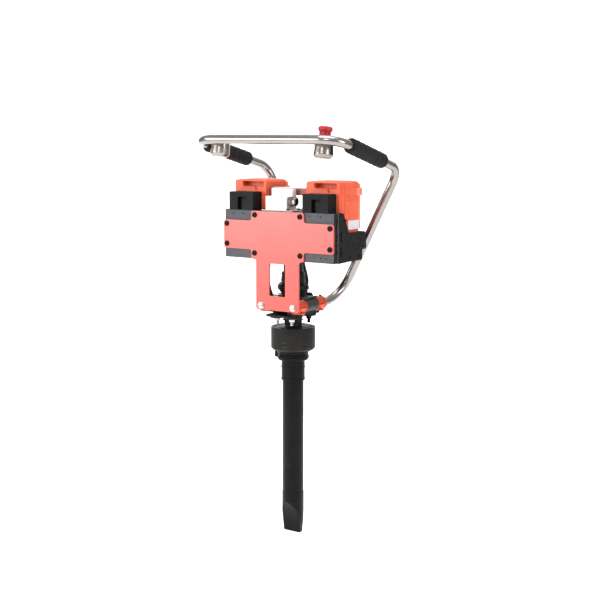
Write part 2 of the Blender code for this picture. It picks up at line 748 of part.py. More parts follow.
def make_motor():
    """The fixed half of the motor, in the housing, and the coupling housing that hangs below."""
    inner = MOTOR_RADIUS - MOTOR_WALL
    through = MOTOR_SHAFT_RADIUS + RUNNING
    profile = [
        (through, MOTOR_BOTTOM + MOTOR_FLOOR),
        (inner, MOTOR_BOTTOM + MOTOR_FLOOR),
        (inner, MOTOR_BOTTOM + MOTOR_HEIGHT),
        (MOTOR_RADIUS, MOTOR_BOTTOM + MOTOR_HEIGHT),
        (MOTOR_RADIUS, MOTOR_BOTTOM),
        (through, MOTOR_BOTTOM),
    ]
    placed(turned("motor_housing", profile, 32, True), ALUMINIUM)
    top = STATOR_BOTTOM + STATOR_HEIGHT
    placed(ring("motor_stator", STATOR_BORE, inner - GAP, STATOR_BOTTOM, top, 32), COPPER)

    chamfer = 0.003
    ceiling = COUPLING_TOP - 0.006
    profile = [
        (through, COLUMN_TOP),
        (SPIGOT_RADIUS, COLUMN_TOP),
        (SPIGOT_RADIUS, COUPLING_TOP),
        (COUPLING_BODY_RADIUS, COUPLING_TOP - chamfer),
        (COUPLING_BODY_RADIUS, FLANGE_TOP),
        (FLANGE_RADIUS - chamfer, FLANGE_TOP),
        (FLANGE_RADIUS, FLANGE_TOP - chamfer),
        (FLANGE_RADIUS, FLANGE_BOTTOM + chamfer),
        (FLANGE_RADIUS - 1.5 * chamfer, FLANGE_BOTTOM),
        (COUPLING_BORE_RADIUS, FLANGE_BOTTOM),
        (COUPLING_BORE_RADIUS, ceiling),
        (through, ceiling),
    ]
    placed(turned("coupling_housing", profile, 28, True), BLACK_STEEL)

    low = UPPER_PLATE_TOP + GAP
    high = FLANGE_BOTTOM - GAP
    profile = [
        (BOOT_TOP_RADIUS - BOOT_WALL, high),
        (BOOT_TOP_RADIUS - 0.003, high),
        (BOOT_BOTTOM_RADIUS, low),
        (BOOT_BOTTOM_RADIUS - BOOT_WALL, low),
    ]
    profile[0] = (profile[1][0] - BOOT_WALL, high)
    placed(turned("rubber_boot", profile, 24, True), BLACK_RUBBER)


def make_base(hammer):
    """Base plate, saddles and upper plate, held together by four long bolts on rubber pads."""
    hole = BOLT_RADIUS + 0.0005
    places = [(sx * BOLT_X, sy * BOLT_Y) for sx in (-1, 1) for sy in (-1, 1)]
    bolt_holes = [circle(x, y, hole, 12) for x, y in places]
    through = ECCENTRIC_SHAFT_RADIUS + 0.0025

    half = [(BASE_PLATE_HALF_X, -BASE_PLATE_HALF_Y), (BASE_PLATE_HALF_X, BASE_PLATE_HALF_Y)]
    outline = rounded(mirrored_outline(half), 0.008)
    passage = circle(0, 0, through + 0.001, 24)
    plate = sheet(
        "base_plate", outline, "XY", PLATE_BOTTOM, PLATE_TOP, [passage, *bolt_holes]
    )
    column_top = LOWER_HUB_BOTTOM - 0.0045
    column = ring("shaft_column", through, NECK_RADIUS, PLATE_BOTTOM + 0.001, column_top, 24)
    placed(combine(plate, column, "UNION"), BLACK_STEEL, hammer)

    low = PLATE_TOP + GAP
    high = low + SADDLE_HEIGHT
    front = BUSH_FRONT_Y + 0.001
    rear = BUSH_REAR_Y - 0.001
    column_clear = NECK_RADIUS + 0.001
    for side, label in ((-1, "left"), (1, "right")):
        outline = [
            (SADDLE_INNER_X, -SADDLE_HALF_Y),
            (SADDLE_STRIP_X, -SADDLE_HALF_Y),
            (SADDLE_STRIP_X, front),
            (SADDLE_OUTER_X, front),
            (SADDLE_OUTER_X, rear),
            (SADDLE_STRIP_X, rear),
            (SADDLE_STRIP_X, SADDLE_HALF_Y),
            (SADDLE_INNER_X, SADDLE_HALF_Y),
        ]
        outline = [(side * x, y) for x, y in outline]
        holes = [circle(side * BOLT_X, sy * BOLT_Y, hole, 12) for sy in (-1, 1)]
        saddle = sheet(f"bush_saddle_{label}", outline, "XY", low, high, holes)
        x = side * ROD_X
        seat = cylinder(f"bush_seat_{label}", BUSH_RADIUS + GAP, (x, -0.2, ROD_Z), (x, 0.2, ROD_Z), 32)
        combine(saddle, seat, "DIFFERENCE")
        pass_by = cylinder(
            f"column_clearance_{label}", column_clear, (0, 0, low - 0.01), (0, 0, high + 0.01), 32
        )
        combine(saddle, pass_by, "DIFFERENCE")
        placed(saddle, BLACK_STEEL, hammer)

    half = [
        (SADDLE_STRIP_X, -SADDLE_HALF_Y),
        (SADDLE_STRIP_X, front),
        (SADDLE_OUTER_X, front),
        (SADDLE_OUTER_X, rear),
        (SADDLE_STRIP_X, rear),
        (SADDLE_STRIP_X, SADDLE_HALF_Y),
    ]
    centre = circle(0, 0, column_clear, 32)
    plate = sheet(
        "upper_clamp_plate", mirrored_outline(half), "XY", UPPER_PLATE_BOTTOM, UPPER_PLATE_TOP,
        [centre, *bolt_holes],
    )
    placed(plate, BLACK_STEEL, hammer)

    nut_bottom = NUT_TOP - NUT_HEIGHT
    for index, (x, y) in enumerate(places, 1):
        profile = [
            (0.0, BOLT_HEAD_BOTTOM + BOLT_HEAD_HEIGHT),
            (BOLT_HEAD_RADIUS, BOLT_HEAD_BOTTOM + BOLT_HEAD_HEIGHT),
            (BOLT_HEAD_RADIUS, BOLT_HEAD_BOTTOM),
            (BOLT_RADIUS, BOLT_HEAD_BOTTOM),
            (BOLT_RADIUS, NUT_TOP),
            (BOLT_HEAD_RADIUS, NUT_TOP),
            (BOLT_HEAD_RADIUS, nut_bottom),
            (BOLT_RADIUS, nut_bottom),
            (BOLT_RADIUS, nut_bottom - STUD_END),
            (0.0, nut_bottom - STUD_END),
        ]
        bolt = turned(f"isolator_bolt_{index}", profile, 12, centre=(x, y))
        placed(bolt, BRIGHT_STEEL, hammer)
        pad = ring(
            f"isolator_pad_{index}", hole, PAD_RADIUS, PAD_BOTTOM, PLATE_BOTTOM - GAP, 20, (x, y)
        )
        placed(pad, BLACK_RUBBER, hammer)


def handle_corners():
    """The right half of the handle's route: rod, leg, side and front bar."""
    return [
        (ROD_X, PANEL_BACK_Y + 2 * GAP, ROD_Z),
        (ROD_X, FOOT_Y, ROD_Z),
        (REAR_BEND_X, REAR_BEND_Y, BAR_Z - REAR_BEND_DROP),
        (HANDLE_HALF_WIDTH, BAR_Y, BAR_Z),
    ]


def make_handle():
    """The hoop of tube, its two foam grips and the bolts that close the rods' ends."""
    right = handle_corners()
    left = [(-x, y, z) for x, y, z in reversed(right)]
    bends = [FOOT_BEND, REAR_BEND, FRONT_BEND]
    steps = [6, 6, 5]
    route = filleted(right + left, bends + bends[::-1], steps + steps[::-1])
    hoop = tube("handle_tube", route, TUBE_RADIUS, 4, capped=False)
    wall = hoop.modifiers.new("wall", "SOLIDIFY")
    wall.thickness = TUBE_WALL
    wall.offset = -1.0
    placed(hoop, STAINLESS)

    start = Vector(right[3])
    end = Vector(right[2])
    along = (end - start).normalized()
    for side, label in ((-1, "left"), (1, "right")):
        direction = Vector((side * along.x, along.y, along.z))
        middle = start + along * ((GRIP_CENTRE_Y - start.y) / along.y)
        middle = Vector((side * middle.x, middle.y, middle.z))
        half = GRIP_LENGTH / 2
        soft = 0.004
        bore = TUBE_RADIUS + GRIP_CLEARANCE
        profile = [
            (bore, half),
            (GRIP_RADIUS - soft, half),
            (GRIP_RADIUS, half - soft),
            (GRIP_RADIUS, soft - half),
            (GRIP_RADIUS - soft, -half),
            (bore, -half),
        ]
        grip = turned(f"foam_grip_{label}", profile, 20, True)
        placed(point_along(grip, middle, direction), FOAM)

        plug = TUBE_RADIUS - TUBE_WALL - 0.0007
        panel = PANEL_THICKNESS + 2 * GAP
        profile = [
            (0.0, panel + 0.006),
            (0.005, panel + 0.006),
            (0.0085, panel + 0.003),
            (0.0085, panel),
            (0.004, panel),
            (0.004, -0.002),
            (plug, -0.002),
            (plug, -0.022),
            (0.0, -0.022),
        ]
        bolt = turned(f"panel_bolt_{label}", profile, 16)
        position = (side * ROD_X, PANEL_BACK_Y + GAP, ROD_Z)
        placed(point_along(bolt, position, (0, -1, 0)), BRIGHT_STEEL)


def make_rod_fittings():
    """On each rod a rubber bush between two split clamps."""
    bore = TUBE_RADIUS + RUNNING
    spans = {"front": (FRONT_CLAMP_Y, BUSH_FRONT_Y - GAP), "rear": (BUSH_REAR_Y + GAP, REAR_CLAMP_Y)}
    for side, label in ((-1, "left"), (1, "right")):
        x = side * ROD_X
        length = BUSH_REAR_Y - BUSH_FRONT_Y
        bush = ring(f"isolator_bush_{label}", bore, BUSH_RADIUS, -length / 2, length / 2, 20)
        middle = (x, (BUSH_REAR_Y + BUSH_FRONT_Y) / 2, ROD_Z)
        placed(point_along(bush, middle, (0, 1, 0)), BLACK_RUBBER)
        for place, (start, end) in spans.items():
            half = (end - start) / 2
            edge = 0.0015
            profile = [
                (bore, half),
                (CLAMP_RADIUS - edge, half),
                (CLAMP_RADIUS, half - edge),
                (CLAMP_RADIUS, edge - half),
                (CLAMP_RADIUS - edge, -half),
                (bore, -half),
            ]
            clamp = turned(f"rod_clamp_{place}_{label}", profile, 20, True)
            point_along(clamp, (x, (start + end) / 2, ROD_Z), (0, 1, 0))
            low_x = min(x, x + side * 0.03)
            slit = box(
                f"clamp_slit_{place}_{label}",
                (low_x, start - 0.01, ROD_Z - CLAMP_SPLIT / 2),
                (low_x + 0.03, end + 0.01, ROD_Z + CLAMP_SPLIT / 2),
            )
            combine(clamp, slit, "DIFFERENCE")
            placed(clamp, ORANGE_PAINT)


def make_panel():
    """The red plate that closes the front and carries the rods' ends."""
    tongue_bottom = ROD_Z - PANEL_BELOW_ROD
    half = [
        (PANEL_TONGUE_X, tongue_bottom),
        (PANEL_TONGUE_X, BOX_BOTTOM + PANEL_COLUMN_BOTTOM),
        (PANEL_COLUMN_X, BOX_BOTTOM + PANEL_COLUMN_BOTTOM),
        (PANEL_COLUMN_X, BOX_BOTTOM + PANEL_WING_BOTTOM),
        (PANEL_WING_X, BOX_BOTTOM + PANEL_WING_BOTTOM),
        (PANEL_WING_X, BOX_BOTTOM + PANEL_WING_TOP),
        (PANEL_COLUMN_X, BOX_BOTTOM + PANEL_WING_TOP),
        (PANEL_COLUMN_X, BOX_BOTTOM + PANEL_COLUMN_TOP),
    ]
    outline = rounded(mirrored_outline(half), PANEL_CORNER)
    low = ROD_Z + WINDOW_ABOVE_ROD
    half = [(WINDOW_HALF_X, low), (WINDOW_HALF_X, low + WINDOW_HEIGHT)]
    window = rounded(mirrored_outline(half), 0.003)
    holes = [circle(side * ROD_X, ROD_Z, 0.0045, 12) for side in (-1, 1)]
    panel = sheet("front_panel", outline, "XZ", PANEL_FRONT_Y, PANEL_BACK_Y, [window, *holes])
    placed(panel, RED_PAINT)


def make_housing():
    """The black sheet housing with a bay for each battery, open at the back."""
    housing = box(
        "main_housing",
        (-BOX_HALF_WIDTH, BOX_FRONT_Y, BOX_BOTTOM),
        (BOX_HALF_WIDTH, BOX_REAR_Y, BOX_TOP),
    )
    beyond = 0.02
    wall = BOX_WALL
    for side, label in ((-1, "left"), (1, "right")):
        xs = sorted((side * BAY_INNER_X, side * (BOX_HALF_WIDTH + beyond)))
        bay = box(
            f"bay_{label}",
            (xs[0], BAY_FRONT_Y, BAY_FLOOR),
            (xs[1], BOX_REAR_Y + beyond, BOX_TOP + beyond),
        )
        combine(housing, bay, "DIFFERENCE")
    inside = BOX_HALF_WIDTH - wall
    front = BOX_FRONT_Y + wall
    rooms = {
        "lower_room": ((-inside, front, BOX_FLOOR_TOP), (inside, BOX_REAR_Y + beyond, BAY_FLOOR - wall)),
        "front_room": ((-inside, front, BOX_FLOOR_TOP), (inside, BAY_FRONT_Y - wall, BOX_TOP - wall)),
        "motor_room": (
            (wall - BAY_INNER_X, front, BOX_FLOOR_TOP),
            (BAY_INNER_X - wall, BOX_REAR_Y + beyond, BOX_TOP - wall),
        ),
    }
    for name, (low, high) in rooms.items():
        combine(housing, box(name, low, high), "DIFFERENCE")
    shaft_hole = cylinder(
        "housing_shaft_hole", MOTOR_SHAFT_RADIUS + 0.004, (0, 0, BOX_BOTTOM - 0.01),
        (0, 0, BOX_FLOOR_TOP + 0.01), 24,
    )
    combine(housing, shaft_hole, "DIFFERENCE")
    placed(housing, BLACK_STEEL)

    cover_low = BOX_REAR_Y + GAP
    half = [
        (BOX_HALF_WIDTH, BOX_BOTTOM),
        (BOX_HALF_WIDTH, BOX_BOTTOM + REAR_COVER_RISE),
        (BAY_INNER_X, BOX_BOTTOM + REAR_COVER_RISE),
        (BAY_INNER_X, BOX_TOP),
    ]
    slots = []
    for row in range(5):
        z = BOX_BOTTOM + 0.030 + 0.014 * row
        slots.append([(-0.035, z), (0.035, z), (0.035, z + 0.005), (-0.035, z + 0.005)])
    outline = rounded(mirrored_outline(half), 0.003, 1)
    cover = sheet("rear_cover", outline, "XZ", cover_low, cover_low + COVER_SHEET, slots)
    placed(cover, BLACK_STEEL)


def make_brackets():
    """The pierced side plates that guard the batteries."""
    low = BOX_BOTTOM
    outline = [
        (BRACKET_FRONT_Y, low - 0.001),
        (BRACKET_REAR_Y - 0.026, low + 0.003),
        (BRACKET_REAR_Y - 0.024, low + 0.029),
        (BRACKET_REAR_Y - 0.003, low + 0.031),
        (BRACKET_REAR_Y, low + 0.036),
        (BRACKET_REAR_Y - 0.005, low + 0.072),
        (BRACKET_REAR_Y - 0.010, low + REAR_COVER_RISE),
        (-0.003, low + REAR_COVER_RISE),
        (BAY_FRONT_Y + 0.002, low + BOX_HEIGHT - 0.001),
        (BRACKET_FRONT_Y, low + BOX_HEIGHT),
    ]
    slots = []
    for bottom in (0.016, 0.058):
        y = BRACKET_FRONT_Y + 0.012
        z = low + bottom
        slots.append([(y, z), (y + 0.005, z), (y + 0.005, z + 0.026), (y, z + 0.026)])
    vents = [(0.020, 0.044), (0.032, 0.032), (0.044, 0.044), (0.056, 0.056), (0.044, 0.062)]
    slots += [circle(y, low + z, 0.002, 8) for y, z in vents]
    for side, label in ((-1, "left"), (1, "right")):
        near = side * (BOX_HALF_WIDTH + GAP)
        far = side * (BOX_HALF_WIDTH + GAP + BRACKET_THICKNESS)
        bracket = sheet(
            f"side_bracket_{label}", outline, "YZ", min(near, far), max(near, far), slots
        )
        placed(bracket, BLACK_STEEL)


def make_battery(label, shift, battery, latch):
    """One battery with its finger recess, its side latch, and the receiver in front of it."""
    inner = BATTERY_INNER_X + shift
    outer = BATTERY_OUTER_X + shift
    corners = [
        (inner, BATTERY_FRONT_Y),
        (outer, BATTERY_FRONT_Y),
        (outer, BATTERY_REAR_Y),
        (inner, BATTERY_REAR_Y),
    ]
    outline = rounded(corners, BATTERY_CORNER, 3)
    pack = sheet(f"battery_{label}", outline, "XY", BATTERY_BOTTOM, BATTERY_TOP)
    recess = box(
        f"grip_recess_{label}",
        (inner + 0.026, BATTERY_FRONT_Y - 0.01, BATTERY_TOP - GRIP_RECESS_BOTTOM),
        (outer - 0.005, BATTERY_FRONT_Y + GRIP_RECESS_DEPTH, BATTERY_TOP - GRIP_RECESS_TOP),
    )
    combine(pack, recess, "DIFFERENCE")
    high = BATTERY_TOP - LATCH_DROP
    low = high - LATCH_HEIGHT
    latch_outer = outer + LATCH_PROUD
    latch_inner = latch_outer - LATCH_THICKNESS
    pocket = box(
        f"latch_pocket_{label}",
        (latch_inner - LATCH_TRAVEL - GAP, LATCH_FRONT_Y - GAP, low - GAP),
        (outer + 0.01, LATCH_REAR_Y, high + GAP),
    )
    combine(pack, pocket, "DIFFERENCE")
    placed(pack, ORANGE_PLASTIC, battery)
    corners = [
        (latch_inner, LATCH_FRONT_Y),
        (latch_outer, LATCH_FRONT_Y),
        (latch_outer, LATCH_REAR_Y),
        (latch_inner, LATCH_REAR_Y),
    ]
    paddle = sheet(f"battery_latch_{label}", rounded(corners, 0.003), "XY", low, high)
    placed(paddle, ORANGE_PLASTIC, latch)


def make_receiver(label, shift):
    """The black terminal block that a battery plugs against."""
    left = RECEIVER_INNER_X + shift
    block = box(
        f"receiver_block_{label}",
        (left, RECEIVER_FRONT_Y, ON_BOX),
        (RECEIVER_OUTER_X + shift, RECEIVER_REAR_Y, ON_BOX + RECEIVER_HEIGHT),
    )
    notch_left = left + 0.030
    notch_top = ON_BOX + 0.0357
    slot = [
        (notch_left, ON_BOX - 0.005),
        (notch_left + 0.0133, ON_BOX - 0.005),
        (notch_left + 0.0133, notch_top - 0.006),
        (notch_left + 0.0253, notch_top - 0.006),
        (notch_left + 0.0253, notch_top),
        (notch_left, notch_top),
    ]
    deep = RECEIVER_FRONT_Y + RECEIVER_SLOT_DEPTH
    combine(
        block, sheet(f"receiver_slot_{label}", slot, "XZ", RECEIVER_FRONT_Y - 0.01, deep), "DIFFERENCE"
    )
    placed(block, BLACK_PLASTIC)


def make_control_box():
    """The stepped white control box, its connector and the bridge between the batteries."""
    section = [
        (CONTROL_FRONT_Y, ON_BOX),
        (CONTROL_REAR_Y, ON_BOX),
        (CONTROL_REAR_Y, ON_BOX + CONTROL_HEIGHT),
        (CONTROL_STEP_Y, ON_BOX + CONTROL_HEIGHT),
        (CONTROL_STEP_Y, ON_BOX + CONTROL_STEP_HEIGHT),
        (CONTROL_FRONT_Y, ON_BOX + CONTROL_STEP_HEIGHT),
    ]
    case = sheet("control_box", section, "YZ", CONTROL_LEFT_X, CONTROL_RIGHT_X)
    flange = box(
        "control_flange",
        (CONTROL_LEFT_X - CONTROL_FLANGE_REACH, CONTROL_FRONT_Y - 0.001, ON_BOX),
        (CONTROL_RIGHT_X + CONTROL_FLANGE_REACH + 0.005, CONTROL_REAR_Y, ON_BOX + CONTROL_FLANGE),
    )
    combine(case, flange, "UNION")
    wall = CONTROL_WALL
    left = CONTROL_LEFT_X + wall
    right = CONTROL_RIGHT_X - wall
    low = ON_BOX - 0.005
    step = ON_BOX + CONTROL_STEP_HEIGHT - wall
    lower = box("control_lower_room", (left, CONTROL_FRONT_Y + wall, low), (right, CONTROL_REAR_Y - wall, step))
    combine(case, lower, "DIFFERENCE")
    upper = box(
        "control_upper_room",
        (left, CONTROL_STEP_Y + wall, low),
        (right, CONTROL_REAR_Y - wall, ON_BOX + CONTROL_HEIGHT - wall),
    )
    combine(case, upper, "DIFFERENCE")
    placed(case, WHITE_PLASTIC)

    length = CONNECTOR_LENGTH
    profile = [
        (0.0, length),
        (0.0075, length),
        (0.0085, length - 0.006),
        (CONNECTOR_RADIUS - 0.002, length - 0.006),
        (CONNECTOR_RADIUS, length - 0.008),
        (CONNECTOR_RADIUS, 0.004),
        (CONNECTOR_RADIUS - 0.002, 0.004),
        (CONNECTOR_RADIUS - 0.002, 0.0),
        (0.0, 0.0),
    ]
    connector = turned("box_connector", profile, 20)
    middle = (CONTROL_FRONT_Y + CONTROL_STEP_Y) / 2
    position = (CONTROL_RIGHT_X + GAP, middle, ON_BOX + CONNECTOR_RISE)
    placed(point_along(connector, position, (1, 0, 0)), BLACK_PLASTIC)

    reach = BATTERY_INNER_X - 0.0012
    front = CONTROL_REAR_Y + GAP
    high = ON_BOX + CONTROL_HEIGHT + 0.0015
    low = high - BRIDGE_HEIGHT
    section = [
        (front, low),
        (front + BRIDGE_WALL, low),
        (front + BRIDGE_WALL, high - BRIDGE_WALL),
        (front + BRIDGE_DEPTH - BRIDGE_WALL, high - BRIDGE_WALL),
        (front + BRIDGE_DEPTH - BRIDGE_WALL, low),
        (front + BRIDGE_DEPTH, low),
        (front + BRIDGE_DEPTH, high),
        (front, high),
    ]
    placed(sheet("battery_bridge", section, "YZ", -reach, reach), RED_PAINT)


def cup_point(side, height):
    """A point on a switch cup's tilted axis, at a height above the front bar's middle."""
    lean = Vector((0, math.sin(CUP_TILT), math.cos(CUP_TILT)))
    back = Vector((0, math.cos(CUP_TILT), -math.sin(CUP_TILT)))
    return Vector((side * CUP_X, BAR_Y, BAR_Z)) + back * CUP_OFFSET + lean * height


def on_cup(obj, side):
    """Puts a piece turned about Z on a switch cup's axis, with zero height level with the bar."""
    return point_along(obj, cup_point(side, 0.0), (0, math.sin(CUP_TILT), math.cos(CUP_TILT)))


def make_cups(plunger, stop, start):
    """The two switch cups under the front bar, the emergency stop and the start button."""
    bottom = -CUP_DROP
    for side, label in ((-1, "left"), (1, "right")):
        hole = (START_RADIUS if side < 0 else PLUNGER_RADIUS) + RUNNING
        profile = [
            (0.0, bottom + CUP_WALL),
            (CUP_RADIUS - 0.0065, bottom + CUP_WALL),
            (CUP_RADIUS - CUP_WALL, bottom + 0.0065),
            (CUP_RADIUS - CUP_WALL, CUP_TOP - CUP_WALL),
            (hole, CUP_TOP - CUP_WALL),
            (hole, BEZEL_TOP),
            (BEZEL_RADIUS, BEZEL_TOP),
            (BEZEL_RADIUS, CUP_TOP),
            (CUP_RADIUS - 0.001, CUP_TOP),
            (CUP_RADIUS, CUP_TOP - 0.001),
            (CUP_RADIUS, bottom + 0.0055),
            (CUP_RADIUS - 0.0018, bottom + 0.0018),
            (CUP_RADIUS - 0.0055, bottom),
            (0.0, bottom),
        ]
        placed(on_cup(turned(f"switch_cup_{label}", profile, 24), side), STAINLESS)

    neck_bottom = BEZEL_TOP + STOP_TRAVEL + 0.002
    neck_top = neck_bottom + STOP_NECK_HEIGHT
    cap_top = neck_top + STOP_CAP_HEIGHT
    stem_top = neck_top - 0.003
    profile = [
        (0.0, stem_top),
        (PLUNGER_RADIUS, stem_top),
        (PLUNGER_RADIUS, bottom + 0.018),
        (0.0, bottom + 0.018),
    ]
    placed(on_cup(turned("stop_plunger", profile, 16), 1), BLACK_PLASTIC, plunger)
    socket = PLUNGER_RADIUS + GAP
    profile = [
        (0.0, cap_top),
        (STOP_CAP_RADIUS - 0.003, cap_top),
        (STOP_CAP_RADIUS, cap_top - 0.003),
        (STOP_CAP_RADIUS, neck_top + 0.001),
        (STOP_NECK_RADIUS, neck_top),
        (STOP_NECK_RADIUS, neck_bottom),
        (socket, neck_bottom),
        (socket, stem_top + GAP),
        (0.0, stem_top + GAP),
    ]
    placed(on_cup(turned("emergency_stop", profile, 24), 1), RED_PLASTIC, stop)

    top = BEZEL_TOP + START_PROUD
    profile = [
        (0.0, top),
        (START_RADIUS - 0.002, top),
        (START_RADIUS, top - 0.002),
        (START_RADIUS, bottom + 0.024),
        (0.0, bottom + 0.024),
    ]
    placed(on_cup(turned("start_button", profile, 20), -1), BLACK_PLASTIC, start)


def make_cables():
    """The two cables from the housing's floor to the base plate, before and behind the column."""
    power = [
        (-0.0500, -0.0450, BOX_BOTTOM - 0.0120),
        (-0.0500, -0.0490, BOX_BOTTOM - 0.0250),
        (-0.0478, -0.0545, BOX_BOTTOM - 0.0420),
        (-0.0425, -0.0590, BOX_BOTTOM - 0.0670),
        (-0.0365, -0.0600, BOX_BOTTOM - 0.0860),
        (-0.0290, -0.0610, BOX_BOTTOM - 0.1013),
        (-0.0222, -0.0620, BOX_BOTTOM - 0.1126),
        (-0.0178, -0.0630, BOX_BOTTOM - 0.1260),
        (-0.0165, -0.0635, PLATE_TOP + 0.0100),
    ]
    signal = [
        (0.0040, 0.0435, BOX_BOTTOM - 0.0120),
        (0.0060, 0.0440, BOX_BOTTOM - 0.0230),
        (0.0125, 0.0450, BOX_BOTTOM - 0.0470),
        (0.0160, 0.0458, BOX_BOTTOM - 0.0650),
        (0.0145, 0.0475, BOX_BOTTOM - 0.0810),
        (0.0105, 0.0510, BOX_BOTTOM - 0.0920),
        (0.0060, 0.0555, BOX_BOTTOM - 0.1020),
        (0.0020, 0.0585, BOX_BOTTOM - 0.1150),
        (0.0000, 0.0600, PLATE_TOP + 0.0200),
        (0.0000, 0.0600, PLATE_TOP + 0.0080),
    ]
    for name, points in (("exciter_cable", power), ("signal_cable", signal)):
        start = Vector((*points[0][:2], BOX_BOTTOM - 2 * GAP))
        end = Vector((*points[-1][:2], PLATE_TOP + 2 * GAP))
        route = [start, *smooth_route(points, 2), end]
        placed(tube(name, route, CABLE_RADIUS, 2), BLACK_RUBBER)


def build():
    hammer = axis_empty("hammer_axis", (0, 0, ROD_Z))
    eccentric = axis_empty("eccentric_axis", (0, 0, EXCITER_BOTTOM), hammer)
    rotor = axis_empty("rotor_axis", (0, 0, MOTOR_BOTTOM))
    plunger = axis_empty("stop_axis", cup_point(1, CUP_TOP))
    stop = axis_empty("stop_twist_axis", cup_point(1, BEZEL_TOP), plunger)
    start = axis_empty("start_axis", cup_point(-1, CUP_TOP))
    make_tool(hammer)
    make_sleeve(hammer)
    make_exciter(hammer)
    make_base(hammer)
    make_drive(rotor, eccentric)
    make_motor()
    make_handle()
    make_rod_fittings()
    make_panel()
    make_housing()
    make_brackets()
    for label, battery_shift, receiver_shift in (
        ("right", 0.0, 0.0),
        ("left", -BATTERY_PITCH, -RECEIVER_PITCH),
    ):
        middle = (BATTERY_INNER_X + BATTERY_OUTER_X) / 2 + battery_shift
        battery = axis_empty(f"battery_axis_{label}", (middle, 0, BATTERY_BOTTOM))
        outer = BATTERY_OUTER_X + battery_shift
        latch = axis_empty(f"latch_axis_{label}", (outer, LATCH_REAR_Y, BATTERY_TOP), battery)
        make_battery(label, battery_shift, battery, latch)
        make_receiver(label, receiver_shift)
    make_control_box()
    make_cups(plunger, stop, start)
    make_cables()


build()
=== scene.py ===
"""Looks of the electric jackhammer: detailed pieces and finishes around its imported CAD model."""

import json
import math

import bmesh
import bpy
from mathutils import Matrix, Vector

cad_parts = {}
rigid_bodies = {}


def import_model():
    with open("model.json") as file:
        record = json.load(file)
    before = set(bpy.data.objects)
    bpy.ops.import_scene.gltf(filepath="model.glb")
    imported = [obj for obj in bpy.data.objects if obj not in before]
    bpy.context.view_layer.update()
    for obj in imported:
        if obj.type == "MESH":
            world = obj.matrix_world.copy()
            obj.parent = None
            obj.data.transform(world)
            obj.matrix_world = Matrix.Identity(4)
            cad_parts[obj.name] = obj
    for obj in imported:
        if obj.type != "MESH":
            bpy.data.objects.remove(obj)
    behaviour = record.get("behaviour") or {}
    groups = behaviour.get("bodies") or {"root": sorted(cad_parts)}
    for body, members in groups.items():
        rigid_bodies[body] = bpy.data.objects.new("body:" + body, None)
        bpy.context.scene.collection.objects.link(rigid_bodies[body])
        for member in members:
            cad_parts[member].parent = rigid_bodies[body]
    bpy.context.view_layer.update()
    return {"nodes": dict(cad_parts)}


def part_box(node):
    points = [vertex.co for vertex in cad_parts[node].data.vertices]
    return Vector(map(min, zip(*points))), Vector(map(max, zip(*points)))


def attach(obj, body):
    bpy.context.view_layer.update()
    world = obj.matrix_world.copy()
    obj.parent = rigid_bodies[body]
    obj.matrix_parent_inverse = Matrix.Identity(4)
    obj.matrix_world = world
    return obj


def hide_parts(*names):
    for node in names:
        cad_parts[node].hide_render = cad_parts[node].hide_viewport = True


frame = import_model()
nodes = frame["nodes"]

# ---- camera and colour
YAW = math.radians(34.26)
PITCH = math.radians(7.91)
ROLL = math.radians(0.10)
CAMERA_PLACE = (1.8925, -2.7445, 1.1350)
FOCAL_LENGTH = 71.87

scene = bpy.context.scene
look = Vector(
    (-math.sin(YAW) * math.cos(PITCH), math.cos(YAW) * math.cos(PITCH), -math.sin(PITCH))
)
level = Vector((math.cos(YAW), math.sin(YAW), 0))
rise = level.cross(look)
across = math.cos(ROLL) * level + math.sin(ROLL) * rise
upward = math.cos(ROLL) * rise - math.sin(ROLL) * level
camera = bpy.data.objects.new("camera", bpy.data.cameras.new("camera"))
scene.collection.objects.link(camera)
camera.data.sensor_width = 36
camera.data.lens = FOCAL_LENGTH
camera.matrix_world = Matrix.Translation(CAMERA_PLACE) @ Matrix(
    (
        (across.x, upward.x, -look.x),
        (across.y, upward.y, -look.y),
        (across.z, upward.z, -look.z),
    )
).to_4x4()
scene.camera = camera
scene.view_settings.view_transform = "Standard"

# ---- sizes that several pieces share
ROD_X = 0.0535
ROD_Z = 0.662
TUBE_RADIUS = 0.0127
BAR = Vector((0.2378, -0.143, 1.1195))
REAR_CORNER = Vector((0.224, 0.195, 1.0370))
FOOT_CORNER = Vector((ROD_X, 0.156, ROD_Z))
FOOT_BEND = 0.090
REAR_BEND = 0.052
BAR_BEND = 0.058
ROD_END_Y = -0.0729
GRIP_Y = 0.0064
GRIP_RADIUS = 0.0208
GRIP_HALF = 0.093
GRIP_END = 0.0065
CUP_X = 0.1703
CUP_TILT = math.radians(9)
CUP_OFFSET = 0.0389
PANEL_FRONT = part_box("front_panel")[0].y
HOUSING_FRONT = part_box("main_housing")[0].y
HOUSING_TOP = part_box("main_housing")[1].z
SIDES = ((-1, "left"), (1, "right"))


def link(tree, source, target):
    """Joins two sockets of a node tree."""
    tree.links.new(source, target)


def noise(tree, coordinate, scale, stretch=(1, 1, 1), detail=4.0):
    """Noise over the piece, with cells stretched along its axes."""
    mapping = tree.nodes.new("ShaderNodeMapping")
    mapping.inputs["Scale"].default_value = stretch
    link(tree, coordinate, mapping.inputs["Vector"])
    texture = tree.nodes.new("ShaderNodeTexNoise")
    texture.inputs["Scale"].default_value = scale
    texture.inputs["Detail"].default_value = detail
    link(tree, mapping.outputs["Vector"], texture.inputs["Vector"])
    return texture.outputs["Fac"]


def spread(tree, factor, low, high, start=0.3, end=0.7):
    """Turns a 0-1 pattern into a number between low and high."""
    ranged = tree.nodes.new("ShaderNodeMapRange")
    limits = {"From Min": start, "From Max": end, "To Min": low, "To Max": high}
    for socket, value in limits.items():
        ranged.inputs[socket].default_value = value
    link(tree, factor, ranged.inputs["Value"])
    return ranged.outputs["Result"]


